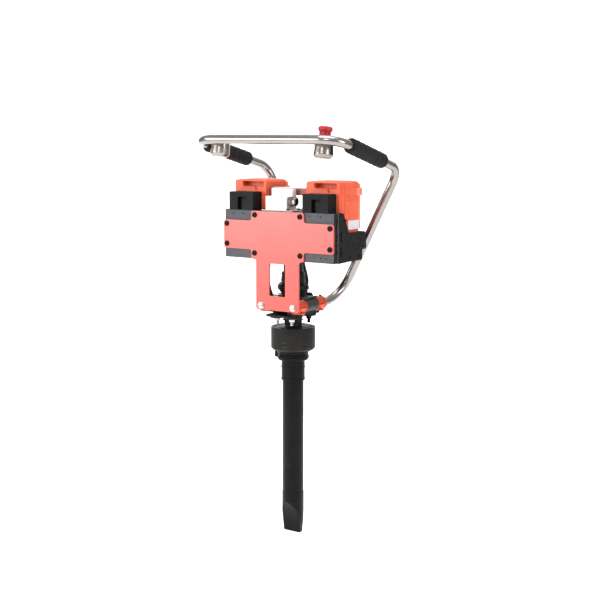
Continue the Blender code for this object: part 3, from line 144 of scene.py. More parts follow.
def blended(tree, factor, first, second):
    """Two colours mixed by a factor socket; each colour is a tuple or a socket."""
    mix = tree.nodes.new("ShaderNodeMix")
    mix.data_type = "RGBA"
    link(tree, factor, mix.inputs["Factor"])
    for socket, value in ((mix.inputs["A"], first), (mix.inputs["B"], second)):
        if isinstance(value, tuple):
            socket.default_value = (*value, 1)
        else:
            link(tree, value, socket)
    return mix.outputs["Result"]


def finish(name, dark, light, rough, metal=0.0, cell=60, stretch=(1, 1, 1),
           bump=0.05, grain=900, coat=0.0, worn=None, source="Object",
           marks=None, coat_rough=0.12, specular=0.5):
    """A procedural finish: mottled colour, uneven roughness, fine grain and worn edges."""
    material = bpy.data.materials.new(name)
    material.use_nodes = True
    tree = material.node_tree
    shader = tree.nodes["Principled BSDF"]
    place = tree.nodes.new("ShaderNodeTexCoord").outputs[source]
    mottle = noise(tree, place, cell, stretch)
    colour = blended(tree, spread(tree, mottle, 0.0, 1.0), dark, light)
    if marks:
        streaks = noise(tree, place, 130, (0.25, 0.25, 2.2), 8.0)
        patches = noise(tree, place, 23)
        line = spread(tree, streaks, 0.0, 1.0, 0.60, 0.66)
        patch = spread(tree, patches, 0.0, 0.75, 0.50, 0.62)
        both = tree.nodes.new("ShaderNodeMath")
        both.operation = "MULTIPLY"
        link(tree, line, both.inputs[0])
        link(tree, patch, both.inputs[1])
        colour = blended(tree, both.outputs["Value"], colour, marks)
    if worn:
        edge = tree.nodes.new("ShaderNodeNewGeometry").outputs["Pointiness"]
        rubbed = spread(tree, edge, 0.0, 0.8, 0.56, 0.66)
        colour = blended(tree, rubbed, colour, worn)
    link(tree, colour, shader.inputs["Base Color"])
    uneven = noise(tree, place, cell * 2.3, stretch, 6.0)
    link(tree, spread(tree, uneven, *rough), shader.inputs["Roughness"])
    levels = {"Metallic": metal, "Coat Weight": coat, "Coat Roughness": coat_rough,
              "Specular IOR Level": specular}
    for socket, value in levels.items():
        shader.inputs[socket].default_value = value
    fine = noise(tree, place, grain, stretch, 2.0)
    relief = tree.nodes.new("ShaderNodeBump")
    relief.inputs["Strength"].default_value = bump
    relief.inputs["Distance"].default_value = 0.0006
    link(tree, fine, relief.inputs["Height"])
    link(tree, relief.outputs["Normal"], shader.inputs["Normal"])
    return material


RED_PANEL = finish("red_panel", (0.55, 0.050, 0.033), (0.60, 0.061, 0.041), (0.32, 0.40), cell=14,
                   bump=0.10, grain=700, coat=1.0, coat_rough=0.36, worn=(0.52, 0.05, 0.03))
# Red paint darkened with painted shade: a shaded copy of the red, used for the bridge and for the red discs
# in the bracket vents.
RED_PAINT_IN_SHADE = finish("red_paint", (0.20, 0.020, 0.013), (0.27, 0.030, 0.019), (0.34, 0.48), bump=0.12,
                   worn=(0.50, 0.38, 0.34))
ORANGE_PAINT = finish("orange_paint", (0.50, 0.036, 0.008), (0.64, 0.056, 0.012), (0.34, 0.48),
                      cell=90, bump=0.12, coat=0.15, worn=(0.72, 0.22, 0.12), specular=0.35)
ORANGE_PLASTIC = finish("orange_plastic", (0.68, 0.100, 0.042), (0.76, 0.122, 0.054), (0.44, 0.54),
                        cell=25, bump=0.18, grain=1500, worn=(0.86, 0.28, 0.17), specular=0.4)
BLACK_COAT = finish("black_powder_coat", (0.0035, 0.0032, 0.0034), (0.0070, 0.0065, 0.0067),
                    (0.42, 0.56), bump=0.28, grain=1300, worn=(0.12, 0.12, 0.13), specular=0.18)
GREY_COAT = finish("grey_powder_coat", (0.055, 0.056, 0.063), (0.070, 0.072, 0.080), (0.42, 0.55),
                   bump=0.28, grain=1300, worn=(0.24, 0.24, 0.26), specular=0.35)
BLACK_STEEL = finish("blackened_steel", (0.0012, 0.0012, 0.0013), (0.0040, 0.0039, 0.0038),
                     (0.26, 0.42), metal=0.05, cell=35, stretch=(1, 1, 0.3), bump=0.15,
                     worn=(0.07, 0.07, 0.07), specular=0.13, marks=(0.022, 0.021, 0.020))
DRUM_STEEL = finish("drum_steel", (0.0075, 0.0070, 0.0062), (0.0150, 0.0142, 0.0128), (0.40, 0.54),
                    metal=0.05, cell=30, stretch=(1, 1, 0.5), bump=0.14, worn=(0.10, 0.10, 0.095),
                    marks=(0.060, 0.057, 0.053), specular=0.16)
BLACK_PLASTIC = finish("black_plastic", (0.0042, 0.0041, 0.0048), (0.0075, 0.0073, 0.0085),
                       (0.42, 0.52), bump=0.16, grain=1500, worn=(0.035, 0.035, 0.04), specular=0.11)
RUBBER = finish("black_rubber", (0.0080, 0.0078, 0.0075), (0.018, 0.017, 0.016), (0.55, 0.70),
                cell=45, bump=0.30, specular=0.3)
BUSH_RUBBER = finish("grey_rubber", (0.022, 0.019, 0.016), (0.046, 0.040, 0.035), (0.42, 0.58),
                     cell=45, bump=0.25, specular=0.35)
FOAM = finish("grip_foam", (0.0095, 0.0095, 0.0090), (0.0160, 0.0160, 0.0152), (0.82, 0.94), cell=160,
              bump=0.9, grain=650, specular=0.2)
STAINLESS = finish("brushed_stainless", (0.27, 0.247, 0.236), (0.36, 0.337, 0.324), (0.18, 0.28),
                   metal=1.0, cell=7, stretch=(60, 1.5, 1), bump=0.05, grain=60, source="UV")
CUP_STEEL = finish("spun_stainless", (0.20, 0.183, 0.168), (0.33, 0.305, 0.285), (0.20, 0.34),
                   metal=1.0, cell=12, stretch=(0.2, 0.2, 5), bump=0.10, grain=160)
ZINC = finish("zinc_plate", (0.56, 0.56, 0.57), (0.72, 0.72, 0.72), (0.20, 0.34), metal=1.0, cell=130,
              bump=0.08)
OXIDE = finish("black_oxide", (0.0025, 0.0023, 0.0023), (0.0060, 0.0056, 0.0056), (0.30, 0.44), metal=0.0,
               cell=120, bump=0.08, worn=(0.08, 0.07, 0.07), specular=0.16)
WHITE_PLASTIC = finish("white_plastic", (0.80, 0.80, 0.79), (0.86, 0.86, 0.85), (0.34, 0.44), cell=20,
                       bump=0.08, grain=1200)
LABEL = finish("blank_label", (0.62, 0.60, 0.65), (0.70, 0.68, 0.72), (0.30, 0.40), cell=18, bump=0.02)
RED_PLASTIC = finish("red_plastic", (0.38, 0.0035, 0.011), (0.48, 0.0060, 0.016), (0.26, 0.36),
                     bump=0.05, worn=(0.74, 0.05, 0.07), specular=0.4)
COPPER = finish("copper_winding", (0.50, 0.19, 0.07), (0.62, 0.27, 0.11), (0.30, 0.45), metal=0.9,
                cell=80, stretch=(1, 1, 8), bump=0.3, grain=300)
ALUMINIUM = finish("aluminium", (0.40, 0.40, 0.41), (0.50, 0.50, 0.51), (0.28, 0.40), metal=1.0,
                   cell=50, stretch=(1, 1, 6), bump=0.1)
CHROME = finish("chrome", (0.34, 0.32, 0.31), (0.46, 0.44, 0.43), (0.10, 0.20), metal=1.0, cell=60,
                bump=0.03)
BRONZE_GREY = finish("bronze_grey", (0.13, 0.100, 0.088), (0.20, 0.160, 0.145), (0.34, 0.48),
                     metal=0.5, cell=90, bump=0.1)


# ---- mesh tools
def shaded(bm, limit=35.0):
    """Smooth faces, with a hard edge where two of them meet at more than the limit."""
    for face in bm.faces:
        face.smooth = True
    for edge in bm.edges:
        if len(edge.link_faces) == 2:
            edge.smooth = edge.calc_face_angle() < math.radians(limit)


def cleaned(mesh, width=0.0):
    """Merges flat faces, rounds the sharp edges to a width and shades the rest smooth."""
    bm = bmesh.new()
    bm.from_mesh(mesh)
    bmesh.ops.remove_doubles(bm, verts=bm.verts, dist=2e-6)
    bmesh.ops.dissolve_limit(bm, angle_limit=math.radians(0.8), verts=bm.verts, edges=bm.edges)
    if width:
        sharp = [
            edge for edge in bm.edges
            if len(edge.link_faces) == 2 and edge.calc_face_angle() > math.radians(26)
        ]
        bmesh.ops.bevel(bm, geom=sharp, offset=width, offset_type="OFFSET", segments=2,
                        profile=0.5, affect="EDGES", clamp_overlap=True)
    shaded(bm)
    bm.to_mesh(mesh)
    bm.free()


def shown(name, mesh, material, body="frame", node=None):
    """Puts a finished mesh on its body with its material slot, in place of a CAD node if named."""
    mesh.materials.clear()
    mesh.materials.append(material)
    obj = bpy.data.objects.new(name, mesh)
    scene.collection.objects.link(obj)
    even = obj.modifiers.new("even_normals", "WEIGHTED_NORMAL")
    even.keep_sharp = True
    even.weight = 80
    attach(obj, body)
    if node:
        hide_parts(node)
    return obj


def refined(node, material, width=0.0008):
    """A piece that stands for a CAD node, with its edges rounded and its curves smoothed."""
    mesh = nodes[node].data.copy()
    cleaned(mesh, width)
    shown(node + "_look", mesh, material, body_of(node), node)


def body_of(node):
    """The name of the body that carries a CAD node."""
    return nodes[node].parent.name.split(":")[-1]


def aimed(place, direction=(0, 0, 1)):
    """The matrix that puts a piece made around +Z at a place, pointing along a direction."""
    swing = Vector((0, 0, 1)).rotation_difference(Vector(direction)).to_matrix().to_4x4()
    return Matrix.Translation(place) @ swing


def polar(radius, angle, height=0.0):
    """A point at a radius and an angle around Z."""
    return Vector((radius * math.cos(angle), radius * math.sin(angle), height))


def on_wall(radius, angle, height):
    """The matrix that stands a piece on a round wall around Z, facing away from the axis."""
    return aimed(polar(radius, angle, height), polar(1, angle))


def loft(rings, closed=False):
    """A mesh skinned over rings of equally many points, capped unless it closes on itself."""
    count = len(rings[0])
    points = [tuple(point) for ring in rings for point in ring]
    faces = []
    spans = len(rings) if closed else len(rings) - 1
    for row in range(spans):
        first = row * count
        second = ((row + 1) % len(rings)) * count
        for index in range(count):
            after = (index + 1) % count
            faces.append((first + index, first + after, second + after, second + index))
    if not closed:
        faces.append(tuple(range(count))[::-1])
        faces.append(tuple((len(rings) - 1) * count + index for index in range(count)))
    mesh = bpy.data.meshes.new("loft")
    mesh.from_pydata(points, [], faces)
    bm = bmesh.new()
    bm.from_mesh(mesh)
    bmesh.ops.recalc_face_normals(bm, faces=bm.faces)
    bm.to_mesh(mesh)
    bm.free()
    return mesh


def circle(radius, height, count=64):
    """A ring of points around Z."""
    turn = 2 * math.pi / count
    return [polar(radius, turn * i, height) for i in range(count)]


def hexagon(flat, height):
    """A ring of 36 points along a hexagon, flat being its half width across flats."""
    ring = []
    for index in range(36):
        angle = 2 * math.pi * index / 36
        offset = (angle + math.pi / 6) % (math.pi / 3) - math.pi / 6
        ring.append(polar(flat / math.cos(offset), angle, height))
    return ring


def eased(profile, closed=False, steps=4):
    """Rounds the corners of an (r, z, radius) profile."""
    result = []
    total = len(profile)
    for index, point in enumerate(profile):
        here = Vector(point[:2])
        radius = point[2] if len(point) > 2 else 0.0
        if not radius or (not closed and index in (0, total - 1)):
            result.append(here)
            continue
        before = Vector(profile[index - 1][:2]) - here
        after = Vector(profile[(index + 1) % total][:2]) - here
        half = before.angle(after) / 2
        cut = min(radius / math.tan(half), before.length * 0.49, after.length * 0.49)
        start = here + before.normalized() * cut
        end = here + after.normalized() * cut
        for step in range(steps + 1):
            t = step / steps
            result.append((1 - t) ** 2 * start + 2 * t * (1 - t) * here + t * t * end)
    return result


def turned(profile, place=None, count=64, closed=False):
    """A solid of revolution from an (r, z, corner radius) profile."""
    rings = [circle(max(p.x, 1e-5), p.y, count) for p in eased(profile, closed)]
    return smoothed(loft(rings, closed), place)


def smoothed(mesh, place=None, limit=35.0):
    """The mesh moved to its place and shaded smooth, with hard edges above the limit."""
    if place:
        mesh.transform(place)
    bm = bmesh.new()
    bm.from_mesh(mesh)
    shaded(bm, limit)
    bm.to_mesh(mesh)
    bm.free()
    return mesh


def evaluated(holder):
    """The mesh that an object's curve or modifiers make."""
    bpy.context.view_layer.update()
    depsgraph = bpy.context.evaluated_depsgraph_get()
    return bpy.data.meshes.new_from_object(holder.evaluated_get(depsgraph))


def plate(outline, plane, low, high, holes=(), width=0.0006):
    """A flat sheet with holes, between two levels of its plane's normal, edges rounded."""
    curve = bpy.data.curves.new("plate", "CURVE")
    curve.dimensions = "2D"
    curve.fill_mode = "BOTH"
    curve.extrude = (high - low) / 2
    for loop in (outline, *holes):
        spline = curve.splines.new("POLY")
        spline.points.add(len(loop) - 1)
        for point, (u, v) in zip(spline.points, loop):
            point.co = (u, v, 0, 1)
        spline.use_cyclic_u = True
    holder = bpy.data.objects.new("plate", curve)
    scene.collection.objects.link(holder)
    mesh = evaluated(holder)
    bpy.data.objects.remove(holder)
    mesh.transform(Matrix.Translation((0, 0, (low + high) / 2)))
    turns = {
        "XY": Matrix.Identity(4),
        "XZ": Matrix(((1, 0, 0, 0), (0, 0, 1, 0), (0, 1, 0, 0), (0, 0, 0, 1))),
        "YZ": Matrix(((0, 0, 1, 0), (1, 0, 0, 0), (0, 1, 0, 0), (0, 0, 0, 1))),
    }
    mesh.transform(turns[plane])
    if plane == "XZ":
        mesh.flip_normals()
    cleaned(mesh, width)
    return mesh


def rounded(outline, radius, steps=4):
    """Rounds the corners of a closed 2-D outline; radius is one number or one per corner."""
    radii = [radius] * len(outline) if isinstance(radius, (int, float)) else radius
    corners = [(u, v, r) for (u, v), r in zip(outline, radii)]
    return [tuple(point) for point in eased(corners, True, steps)]


def rectangle(left, low, right, high, radius=0.001):
    """A rounded rectangle outline."""
    return rounded([(left, low), (right, low), (right, high), (left, high)], radius)


def disc(u, v, radius):
    """A circular outline."""
    return [(u + point.x, v + point.y) for point in circle(radius, 0.0, 20)]


def merged(name, meshes, material, body="frame", node=None):
    """Several meshes of one finish shown as one piece."""
    bm = bmesh.new()
    for mesh in meshes:
        bm.from_mesh(mesh)
    joined = bpy.data.meshes.new(name)
    bm.to_mesh(joined)
    bm.free()
    shown(name, joined, material, body, node)


def swept(route, radius, count=48, wave=None):
    """A round bar along a route, with UVs that run around it and along it in metres."""
    direction = (route[1] - route[0]).normalized()
    side = direction.orthogonal().normalized()
    rings = []
    lengths = []
    length = 0.0
    for index, point in enumerate(route):
        behind = route[max(index - 1, 0)]
        ahead = route[min(index + 1, len(route) - 1)]
        tangent = (ahead - behind).normalized()
        side = (side - tangent * side.dot(tangent)).normalized()
        other = tangent.cross(side)
        length += (point - behind).length
        lengths.append(length)
        reach = radius + (wave(index / (len(route) - 1)) if wave else 0.0)
        ring = []
        for turn in range(count):
            angle = 2 * math.pi * turn / count
            ring.append(point + (side * math.cos(angle) + other * math.sin(angle)) * reach)
        rings.append(ring)
    mesh = loft(rings)
    layer = mesh.uv_layers.new(name="UVMap")
    for face in mesh.polygons:
        around = [mesh.loops[loop].vertex_index % count for loop in face.loop_indices]
        wraps = max(around) - min(around) > count / 2
        for loop, turn in zip(face.loop_indices, around):
            row = mesh.loops[loop].vertex_index // count
            u = (turn + (count if wraps and turn < count / 2 else 0)) / count
            layer.data[loop].uv = (u, lengths[row])
    return smoothed(mesh)


def filleted(corners, radii, steps=14):
    """A route through 3-D corners with an arc at each inner one."""
    route = [corners[0]]
    for index in range(1, len(corners) - 1):
        here = corners[index]
        before = (corners[index - 1] - here).normalized()
        after = (corners[index + 1] - here).normalized()
        half = before.angle(after) / 2
        radius = radii[index - 1]
        centre = here + (before + after).normalized() * (radius / math.sin(half))
        start = here + before * (radius / math.tan(half)) - centre
        end = here + after * (radius / math.tan(half)) - centre
        axis = start.cross(end).normalized()
        for step in range(steps + 1):
            spun = Matrix.Rotation(start.angle(end) * step / steps, 3, axis) @ start
            route.append(centre + spun)
    route.append(corners[-1])
    return route


def cut(mesh, cutters):
    """The mesh with the cutters' volumes taken out of it."""
    holder = bpy.data.objects.new("cut", mesh)
    scene.collection.objects.link(holder)
    tools = []
    for cutter in cutters:
        tool = bpy.data.objects.new("cutter", cutter)
        scene.collection.objects.link(tool)
        tools.append(tool)
        step = holder.modifiers.new("cut", "BOOLEAN")
        step.operation = "DIFFERENCE"
        step.solver = "EXACT"
        step.object = tool
    result = evaluated(holder)
    for obj in (holder, *tools):
        bpy.data.objects.remove(obj)
    return result


# ---- fasteners
def hex_head(across_flats, height, place, dome=0.0):
    """A chamfered hexagon head or nut standing on z 0, with a slight dome if wanted."""
    flat = across_flats / 2
    chamfer = height * 0.22
    rings = [
        circle(flat * 0.96, 0.0, 36), hexagon(flat, height * 0.05), hexagon(flat, height - chamfer),
        circle(flat * 0.97, height, 36), circle(flat * 0.45, height + dome * 0.8, 36),
        circle(flat * 0.12, height + dome, 36),
    ]
    return smoothed(loft(rings), place, 25)


def button_head(radius, height, place, socket=0.5):
    """A round-headed screw with a hexagon socket."""
    flat = radius * socket
    rings = [circle(radius * 0.985, 0.0, 36), circle(radius, height * 0.15, 36)]
    for step in range(1, 6):
        angle = math.radians(15 * step)
        reach = radius * (0.62 + 0.38 * math.cos(angle))
        rings.append(circle(reach, height * (0.15 + 0.85 * math.sin(angle)), 36))
    rings += [hexagon(flat * 1.08, height), hexagon(flat, height * 0.93), hexagon(flat, height * 0.35)]
    return smoothed(loft(rings), place, 28)


def thread(radius, length, pitch, place):
    """A threaded end from z 0 upwards."""
    profile = [(radius * 0.86, 0.0)]
    turns = int(length / pitch)
    for index in range(turns):
        base = index * pitch
        profile += [(radius, base + pitch * 0.5), (radius * 0.86, base + pitch)]
    profile.append((radius * 0.7, turns * pitch + 0.0006))
    mesh = loft([circle(r, z, 28) for r, z in profile])
    mesh.transform(place)
    return mesh


def washer(radius, bore, thickness, place):
    """A flat washer standing on z 0."""
    edge = thickness * 0.25
    profile = [(bore, thickness), (radius, thickness, edge), (radius, 0.0, edge), (bore, 0.0)]
    return turned(profile, place, 40, True)


# ---- chisel, sleeve, collar
def chisel():
    """The long tool: a round bar whose end is hollowed into a broad wedge."""
    edge = 0.005
    shoulder = 0.031
    wedge_top = 0.091
    rings = []
    heights = [0.0, 0.0004, 0.0012, 0.0025, 0.004]
    heights += [0.004 + wedge_top * i / 44 for i in range(1, 45)]
    heights += [0.1185, 0.1200, 0.1210, 0.1222, 0.1235, 0.25, 0.40, 0.5185, 0.5192, 0.5195]
    for z in heights:
        radius = shoulder if z < 0.1205 else 0.030
        if 0.1205 < z < 0.123:
            radius = 0.0304
        if z > 0.519:
            radius -= (z - 0.519) * 1.6
        half = edge + (shoulder - edge) * min(z / wedge_top, 1.05) ** 2.2
        half = min(half, radius)
        if z < 0.0012:
            half -= (0.0012 - z) * 0.9
        wide = 0.0285 + 0.0035 * min(z / 0.075, 1.0)
        if z < 0.004:
            wide -= 0.004 - math.sqrt(max(0.0, 0.004**2 - (0.004 - z) ** 2))
        ring = []
        for point in circle(radius, z, 128):
            x = max(-wide, min(wide, point.x))
            y = max(-half, min(half, point.y))
            ring.append(Vector((x, y, z)))
        rings.append(ring)
    shown("chisel_bar", smoothed(loft(rings), limit=20), BLACK_STEEL, "hammer",
          node="chisel_tool")


chisel()

low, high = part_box("tool_sleeve")
profile = [
    (0.0303, high.z), (high.x, high.z, 0.0008), (high.x, low.z + 0.001, 0.0012),
    (high.x - 0.0014, low.z, 0.0006), (0.0303, low.z),
]
shown("sleeve", turned(profile, count=96, closed=True), BLACK_STEEL, "hammer", node="tool_sleeve")
rings = []
for z in (0.4475, 0.4815):
    band = [(0.0332, z + 0.0035), (0.0345, z + 0.0030, 0.0004), (0.0345, z + 0.0004, 0.0004), (0.0332, z)]
    rings.append(turned(band, count=96, closed=True))

low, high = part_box("clamp_collar")
top, bottom = high.z, low.z
radius = high.x
refined("clamp_collar", BLACK_STEEL, 0.0009)
steps = [
    [(radius - 0.002, top - 0.0006), (radius + 0.0012, top - 0.0012, 0.0006),
     (radius + 0.0012, top - 0.0052, 0.0006), (radius - 0.002, top - 0.0060)],
    [(radius - 0.002, bottom + 0.0105), (radius + 0.0020, bottom + 0.0098, 0.0008),
     (radius + 0.0020, bottom + 0.0062, 0.0008), (radius - 0.002, bottom + 0.0052)],
]
rings += [turned(step, count=96, closed=True) for step in steps]
merged("collar_ridges", rings, BLACK_STEEL, "hammer")
ear = low.x
screws = []
for z in (bottom + 0.008, top - 0.008):
    screws.append(button_head(0.0042, 0.0030, aimed((ear + 0.006, -0.0108, z), (0, -1, 0))))
    screws.append(hex_head(0.0072, 0.0030, aimed((ear + 0.006, 0.0108, z), (0, 1, 0))))
for angle in (20, 66, 250, 296, 340):
    place = on_wall(radius + 0.0002, math.radians(angle), bottom + 0.0155)
    screws.append(button_head(0.0030, 0.0012, place))
merged("collar_screws", screws, OXIDE, "hammer")

# ---- exciter drum
low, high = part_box("exciter_housing")
base, rim, radius = low.z, high.z, high.x
profile = [
    (0.0, base + 0.003), (0.0172, base + 0.003), (0.0172, base + 0.010), (radius - 0.008, base + 0.010),
    (radius - 0.008, rim), (radius, rim, 0.0004), (radius, base + 0.0062, 0.0030),
    (radius - 0.0062, base, 0.0020), (0.036, base, 0.0010), (0.0352, base + 0.0008, 0.0006),
    (0.0, base + 0.0008),
]
shown("drum", turned(profile, count=128), DRUM_STEEL, "hammer", node="exciter_housing")
low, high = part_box("exciter_cover")
lid, neck_top = low.z, high.z
deck = lid + 0.008
profile = [
    (0.0125, neck_top), (0.0250, neck_top, 0.0008), (0.0250, deck + 0.0035, 0.0015),
    (0.0285, deck + 0.0004, 0.0010), (0.0420, deck, 0.0005), (0.0425, deck - 0.0006, 0.0003),
    (0.0450, deck - 0.0006, 0.0003), (0.0455, deck, 0.0005), (radius, deck, 0.0022),
    (radius, lid + 0.0004, 0.0004), (radius - 0.0006, lid), (0.0125, lid),
]
shown("drum_cover", turned(profile, count=128, closed=True), DRUM_STEEL, "hammer", node="exciter_cover")
screws = [
    button_head(0.0048, 0.0016, aimed(polar(0.0515, math.radians(30 + 60 * index), deck - 0.0003)))
    for index in range(6)
]
ribs = []
for index in range(8):
    rib = plate(rectangle(-0.0015, -0.0125, 0.0015, 0.009, 0.0006), "XY", 0.0, 0.0036, width=0.0005)
    rib.transform(on_wall(0.0235, math.radians(45 * index + 12), neck_top - 0.013))
    ribs.append(rib)
merged("drum_screws", screws, OXIDE, "hammer")
merged("neck_ribs", ribs, BLACK_STEEL, "hammer")

# ---- isolator
refined("base_plate", BLACK_COAT, 0.0010)
refined("upper_clamp_plate", BLACK_COAT, 0.0008)
for side in ("left", "right"):
    refined("bush_saddle_" + side, BLACK_COAT, 0.0008)
for number in (1, 2, 3, 4):
    low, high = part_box(f"isolator_pad_{number}")
    x, y = (low.x + high.x) / 2, (low.y + high.y) / 2
    axis = Matrix.Translation((x, y, 0))
    profile = [
        (0.0055, high.z), (0.0205, high.z, 0.0015), (0.0220, high.z - 0.0025, 0.0018),
        (0.0185, low.z, 0.0012), (0.0055, low.z),
    ]
    mesh = turned(profile, axis, 64, True)
    shown(f"rubber_pad_{number}", mesh, RUBBER, "hammer", node=f"isolator_pad_{number}")
    low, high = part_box(f"isolator_bolt_{number}")
    nut_top = low.z + 0.0195
    shank_top, shank_foot = 0.688, nut_top - 0.004
    shank = [(0.0, shank_top), (0.0049, shank_top), (0.0049, shank_foot), (0.0, shank_foot)]
    meshes = [
        turned(shank, axis, 32),
        hex_head(0.0158, 0.0050, aimed((x, y, high.z - 0.0050)), 0.0002),
        washer(0.0090, 0.0055, 0.0014, aimed((x, y, high.z - 0.0052))),
        washer(0.0105, 0.0048, 0.0014, aimed((x, y, nut_top - 0.0006))),
        hex_head(0.0150, 0.0072, aimed((x, y, nut_top - 0.0006), (0, 0, -1))),
        thread(0.0048, nut_top - 0.006 - low.z, 0.0012, aimed((x, y, nut_top - 0.006), (0, 0, -1))),
    ]
    name, material = ("zinc", ZINC) if y < 0 else ("dark", OXIDE)
    merged(f"{name}_bolt_{number}", meshes, material, "hammer", node=f"isolator_bolt_{number}")

for side, label in SIDES:
    low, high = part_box("isolator_bush_" + label)
    length = high.y - low.y
    profile = [
        (0.0131, length / 2), (0.0166, length / 2), (0.0180, length / 2 - 0.0010, 0.0006),
        (0.0180, length / 2 - 0.0075, 0.0006), (0.0172, length / 2 - 0.0085, 0.0005),
        (0.0172, 0.0085 - length / 2, 0.0005), (0.0180, 0.0075 - length / 2, 0.0006),
        (0.0180, 0.0010 - length / 2, 0.0006), (0.0166, -length / 2), (0.0131, -length / 2),
    ]
    middle = (side * ROD_X, (low.y + high.y) / 2, ROD_Z)
    mesh = turned(profile, aimed(middle, (0, 1, 0)), 72, True)
    shown("rubber_bush_" + label, mesh, BUSH_RUBBER, node="isolator_bush_" + label)
    for place in ("front", "rear"):
        node = f"rod_clamp_{place}_{label}"
        refined(node, ORANGE_PAINT, 0.0007)
        low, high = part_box(node)
        y = (low.y + high.y) / 2
        span = high.y - low.y
        ribs = []
        for end in (low.y + 0.0015, high.y - 0.0045):
            band = [(0.0160, 0.0030), (0.0186, 0.0026, 0.0006), (0.0186, 0.0004, 0.0006), (0.0160, 0.0)]
            ribs.append(turned(band, aimed((side * ROD_X, end, ROD_Z), (0, 1, 0)), 64, True))
        strap = rectangle(-span / 2 + 0.002, -0.0065, span / 2 - 0.002, 0.0065, 0.002)
        for face in (1, -1):
            pad = plate(strap, "XY", 0.0, 0.0032, width=0.0008)
            pad.transform(Matrix.Rotation(math.pi / 2, 4, "Z"))
            pad.transform(aimed((side * ROD_X, y, ROD_Z + face * 0.0162), (0, 0, face)))
            ribs.append(pad)
        merged(f"clamp_bands_{place}_{label}", ribs, ORANGE_PAINT)
        heads = [
            button_head(0.0042, 0.0034, aimed((side * ROD_X, y + shift, ROD_Z + 0.0192)))
            for shift in (-span * 0.27, span * 0.27)
        ]
        merged(f"clamp_screws_{place}_{label}", heads, OXIDE)

# ---- motor column
low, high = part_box("coupling_housing")
foot, column_top = low.z, high.z
profile = [
    (0.0105, column_top), (0.0272, column_top), (0.0272, foot + 0.0530, 0.0010),
    (0.0320, foot + 0.0515, 0.0015), (0.0335, foot + 0.0480, 0.0010), (0.0335, foot + 0.0440, 0.0004),
    (0.0322, foot + 0.0436, 0.0004), (0.0322, foot + 0.0404, 0.0004), (0.0335, foot + 0.0400, 0.0004),
    (0.0335, foot + 0.0215, 0.0020), (0.0385, foot + 0.0188, 0.0015), (0.0415, foot + 0.0180, 0.0015),
    (0.0430, foot + 0.0155, 0.0010), (0.0430, foot + 0.0035, 0.0014), (0.0385, foot, 0.0010),
    (0.0240, foot), (0.0240, foot + 0.0450), (0.0105, foot + 0.0450),
]
shown("coupling_shell", turned(profile, count=96, closed=True), BLACK_COAT, node="coupling_housing")
screws = []
lugs = []
for index in range(6):
    angle = math.radians(60 * index + 15)
    screws.append(button_head(0.0036, 0.0034, aimed(polar(0.0378, angle, foot + 0.0176))))
    lug = plate(rectangle(-0.0045, -0.0075, 0.0045, 0.0075, 0.0015), "XY", 0.0, 0.0022, width=0.0005)
    lug.transform(on_wall(0.0425, angle, foot + 0.0095))
    lugs.append(lug)
    rib = plate(rectangle(-0.0013, -0.0085, 0.0013, 0.0085, 0.0004), "XY", 0.0, 0.0022, width=0.0004)
    rib.transform(on_wall(0.0325, angle, foot + 0.0305))
    lugs.append(rib)
merged("coupling_screws", screws, OXIDE)
merged("coupling_lugs", lugs, BLACK_COAT)

low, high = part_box("rubber_boot")
base, top = low.z, high.z
reach = high.x
drop = top - base
profile = [(reach - 0.0026, top), (reach, top, 0.0006)]
for index in range(3):
    share = (index + 0.5) / 3
    wide = reach - (reach - 0.0315) * share
    profile.append((wide - 0.0012, top - drop * (share - 0.10), 0.0006))
    profile.append((wide + 0.0008, top - drop * (share + 0.02), 0.0008))
profile += [(0.0300, base, 0.0004), (0.0276, base)]
shown("boot_bellows", turned(profile, count=96, closed=True), RUBBER, node="rubber_boot")

# ---- housing, covers, panel, brackets
refined("main_housing", BLACK_COAT, 0.0007)
strips = []
for side in (-1, 1):
    for floor, ceiling in ((0.7908, 0.8180), (0.8945, 0.9241)):
        near, far = sorted((side * 0.0860, side * 0.1815))
        strips.append(plate(rectangle(near, floor, far, ceiling, 0.0015), "XZ",
                            HOUSING_FRONT - 0.00025, HOUSING_FRONT + 0.0002, width=0.0001))
merged("front_strips", strips, GREY_COAT)
refined("rear_cover", BLACK_COAT, 0.0006)
refined("front_panel", RED_PANEL, 0.0007)

eyelets = []
dots = [(-0.152, 0.9145), (-0.118, 0.9145), (0.104, 0.9150), (0.138, 0.9150),
        (0.088, 0.8020), (0.140, 0.8035), (0.158, 0.8035)]
for x, z in dots:
    place = aimed((x, HOUSING_FRONT - 0.0002, z), (0, -1, 0))
    rim = [(0.0013, 0.0), (0.0022, 0.0, 0.0001), (0.0020, 0.0006, 0.0002), (0.0013, 0.0006)]
    eyelets.append(turned(rim, place, 24, True))
    eyelets.append(turned([(0.0, 0.0003), (0.0014, 0.0003), (0.0014, 0.0), (0.0, 0.0)], place, 24))
merged("strip_eyelets", eyelets, OXIDE)

spots = [(0.0755, 0.9125), (0.1725, 0.8850), (0.1725, 0.8289), (0.0763, 0.8066)]
heads = [
    button_head(0.0078, 0.0042, aimed((side * x, PANEL_FRONT, z), (0, -1, 0)), 0.45)
    for x, z in spots for side in (-1, 1)
]
merged("panel_screws", heads, OXIDE)

for side, label in SIDES:
    place = aimed((side * ROD_X, PANEL_FRONT, ROD_Z), (0, -1, 0))
    meshes = [
        washer(0.0100, 0.0045, 0.0012, place),
        hex_head(0.0160, 0.0056, place @ Matrix.Translation((0, 0, 0.0010)), 0.0005),
        turned([(0.0, 0.0), (0.0040, 0.0), (0.0040, -0.006), (0.0, -0.006)], place, 32),
        turned([(0.0, -0.0075), (0.0100, -0.0075, 0.0005), (0.0100, -0.026), (0.0, -0.026)], place, 48),
    ]
    merged("panel_bolt_look_" + label, meshes, ZINC, node="panel_bolt_" + label)

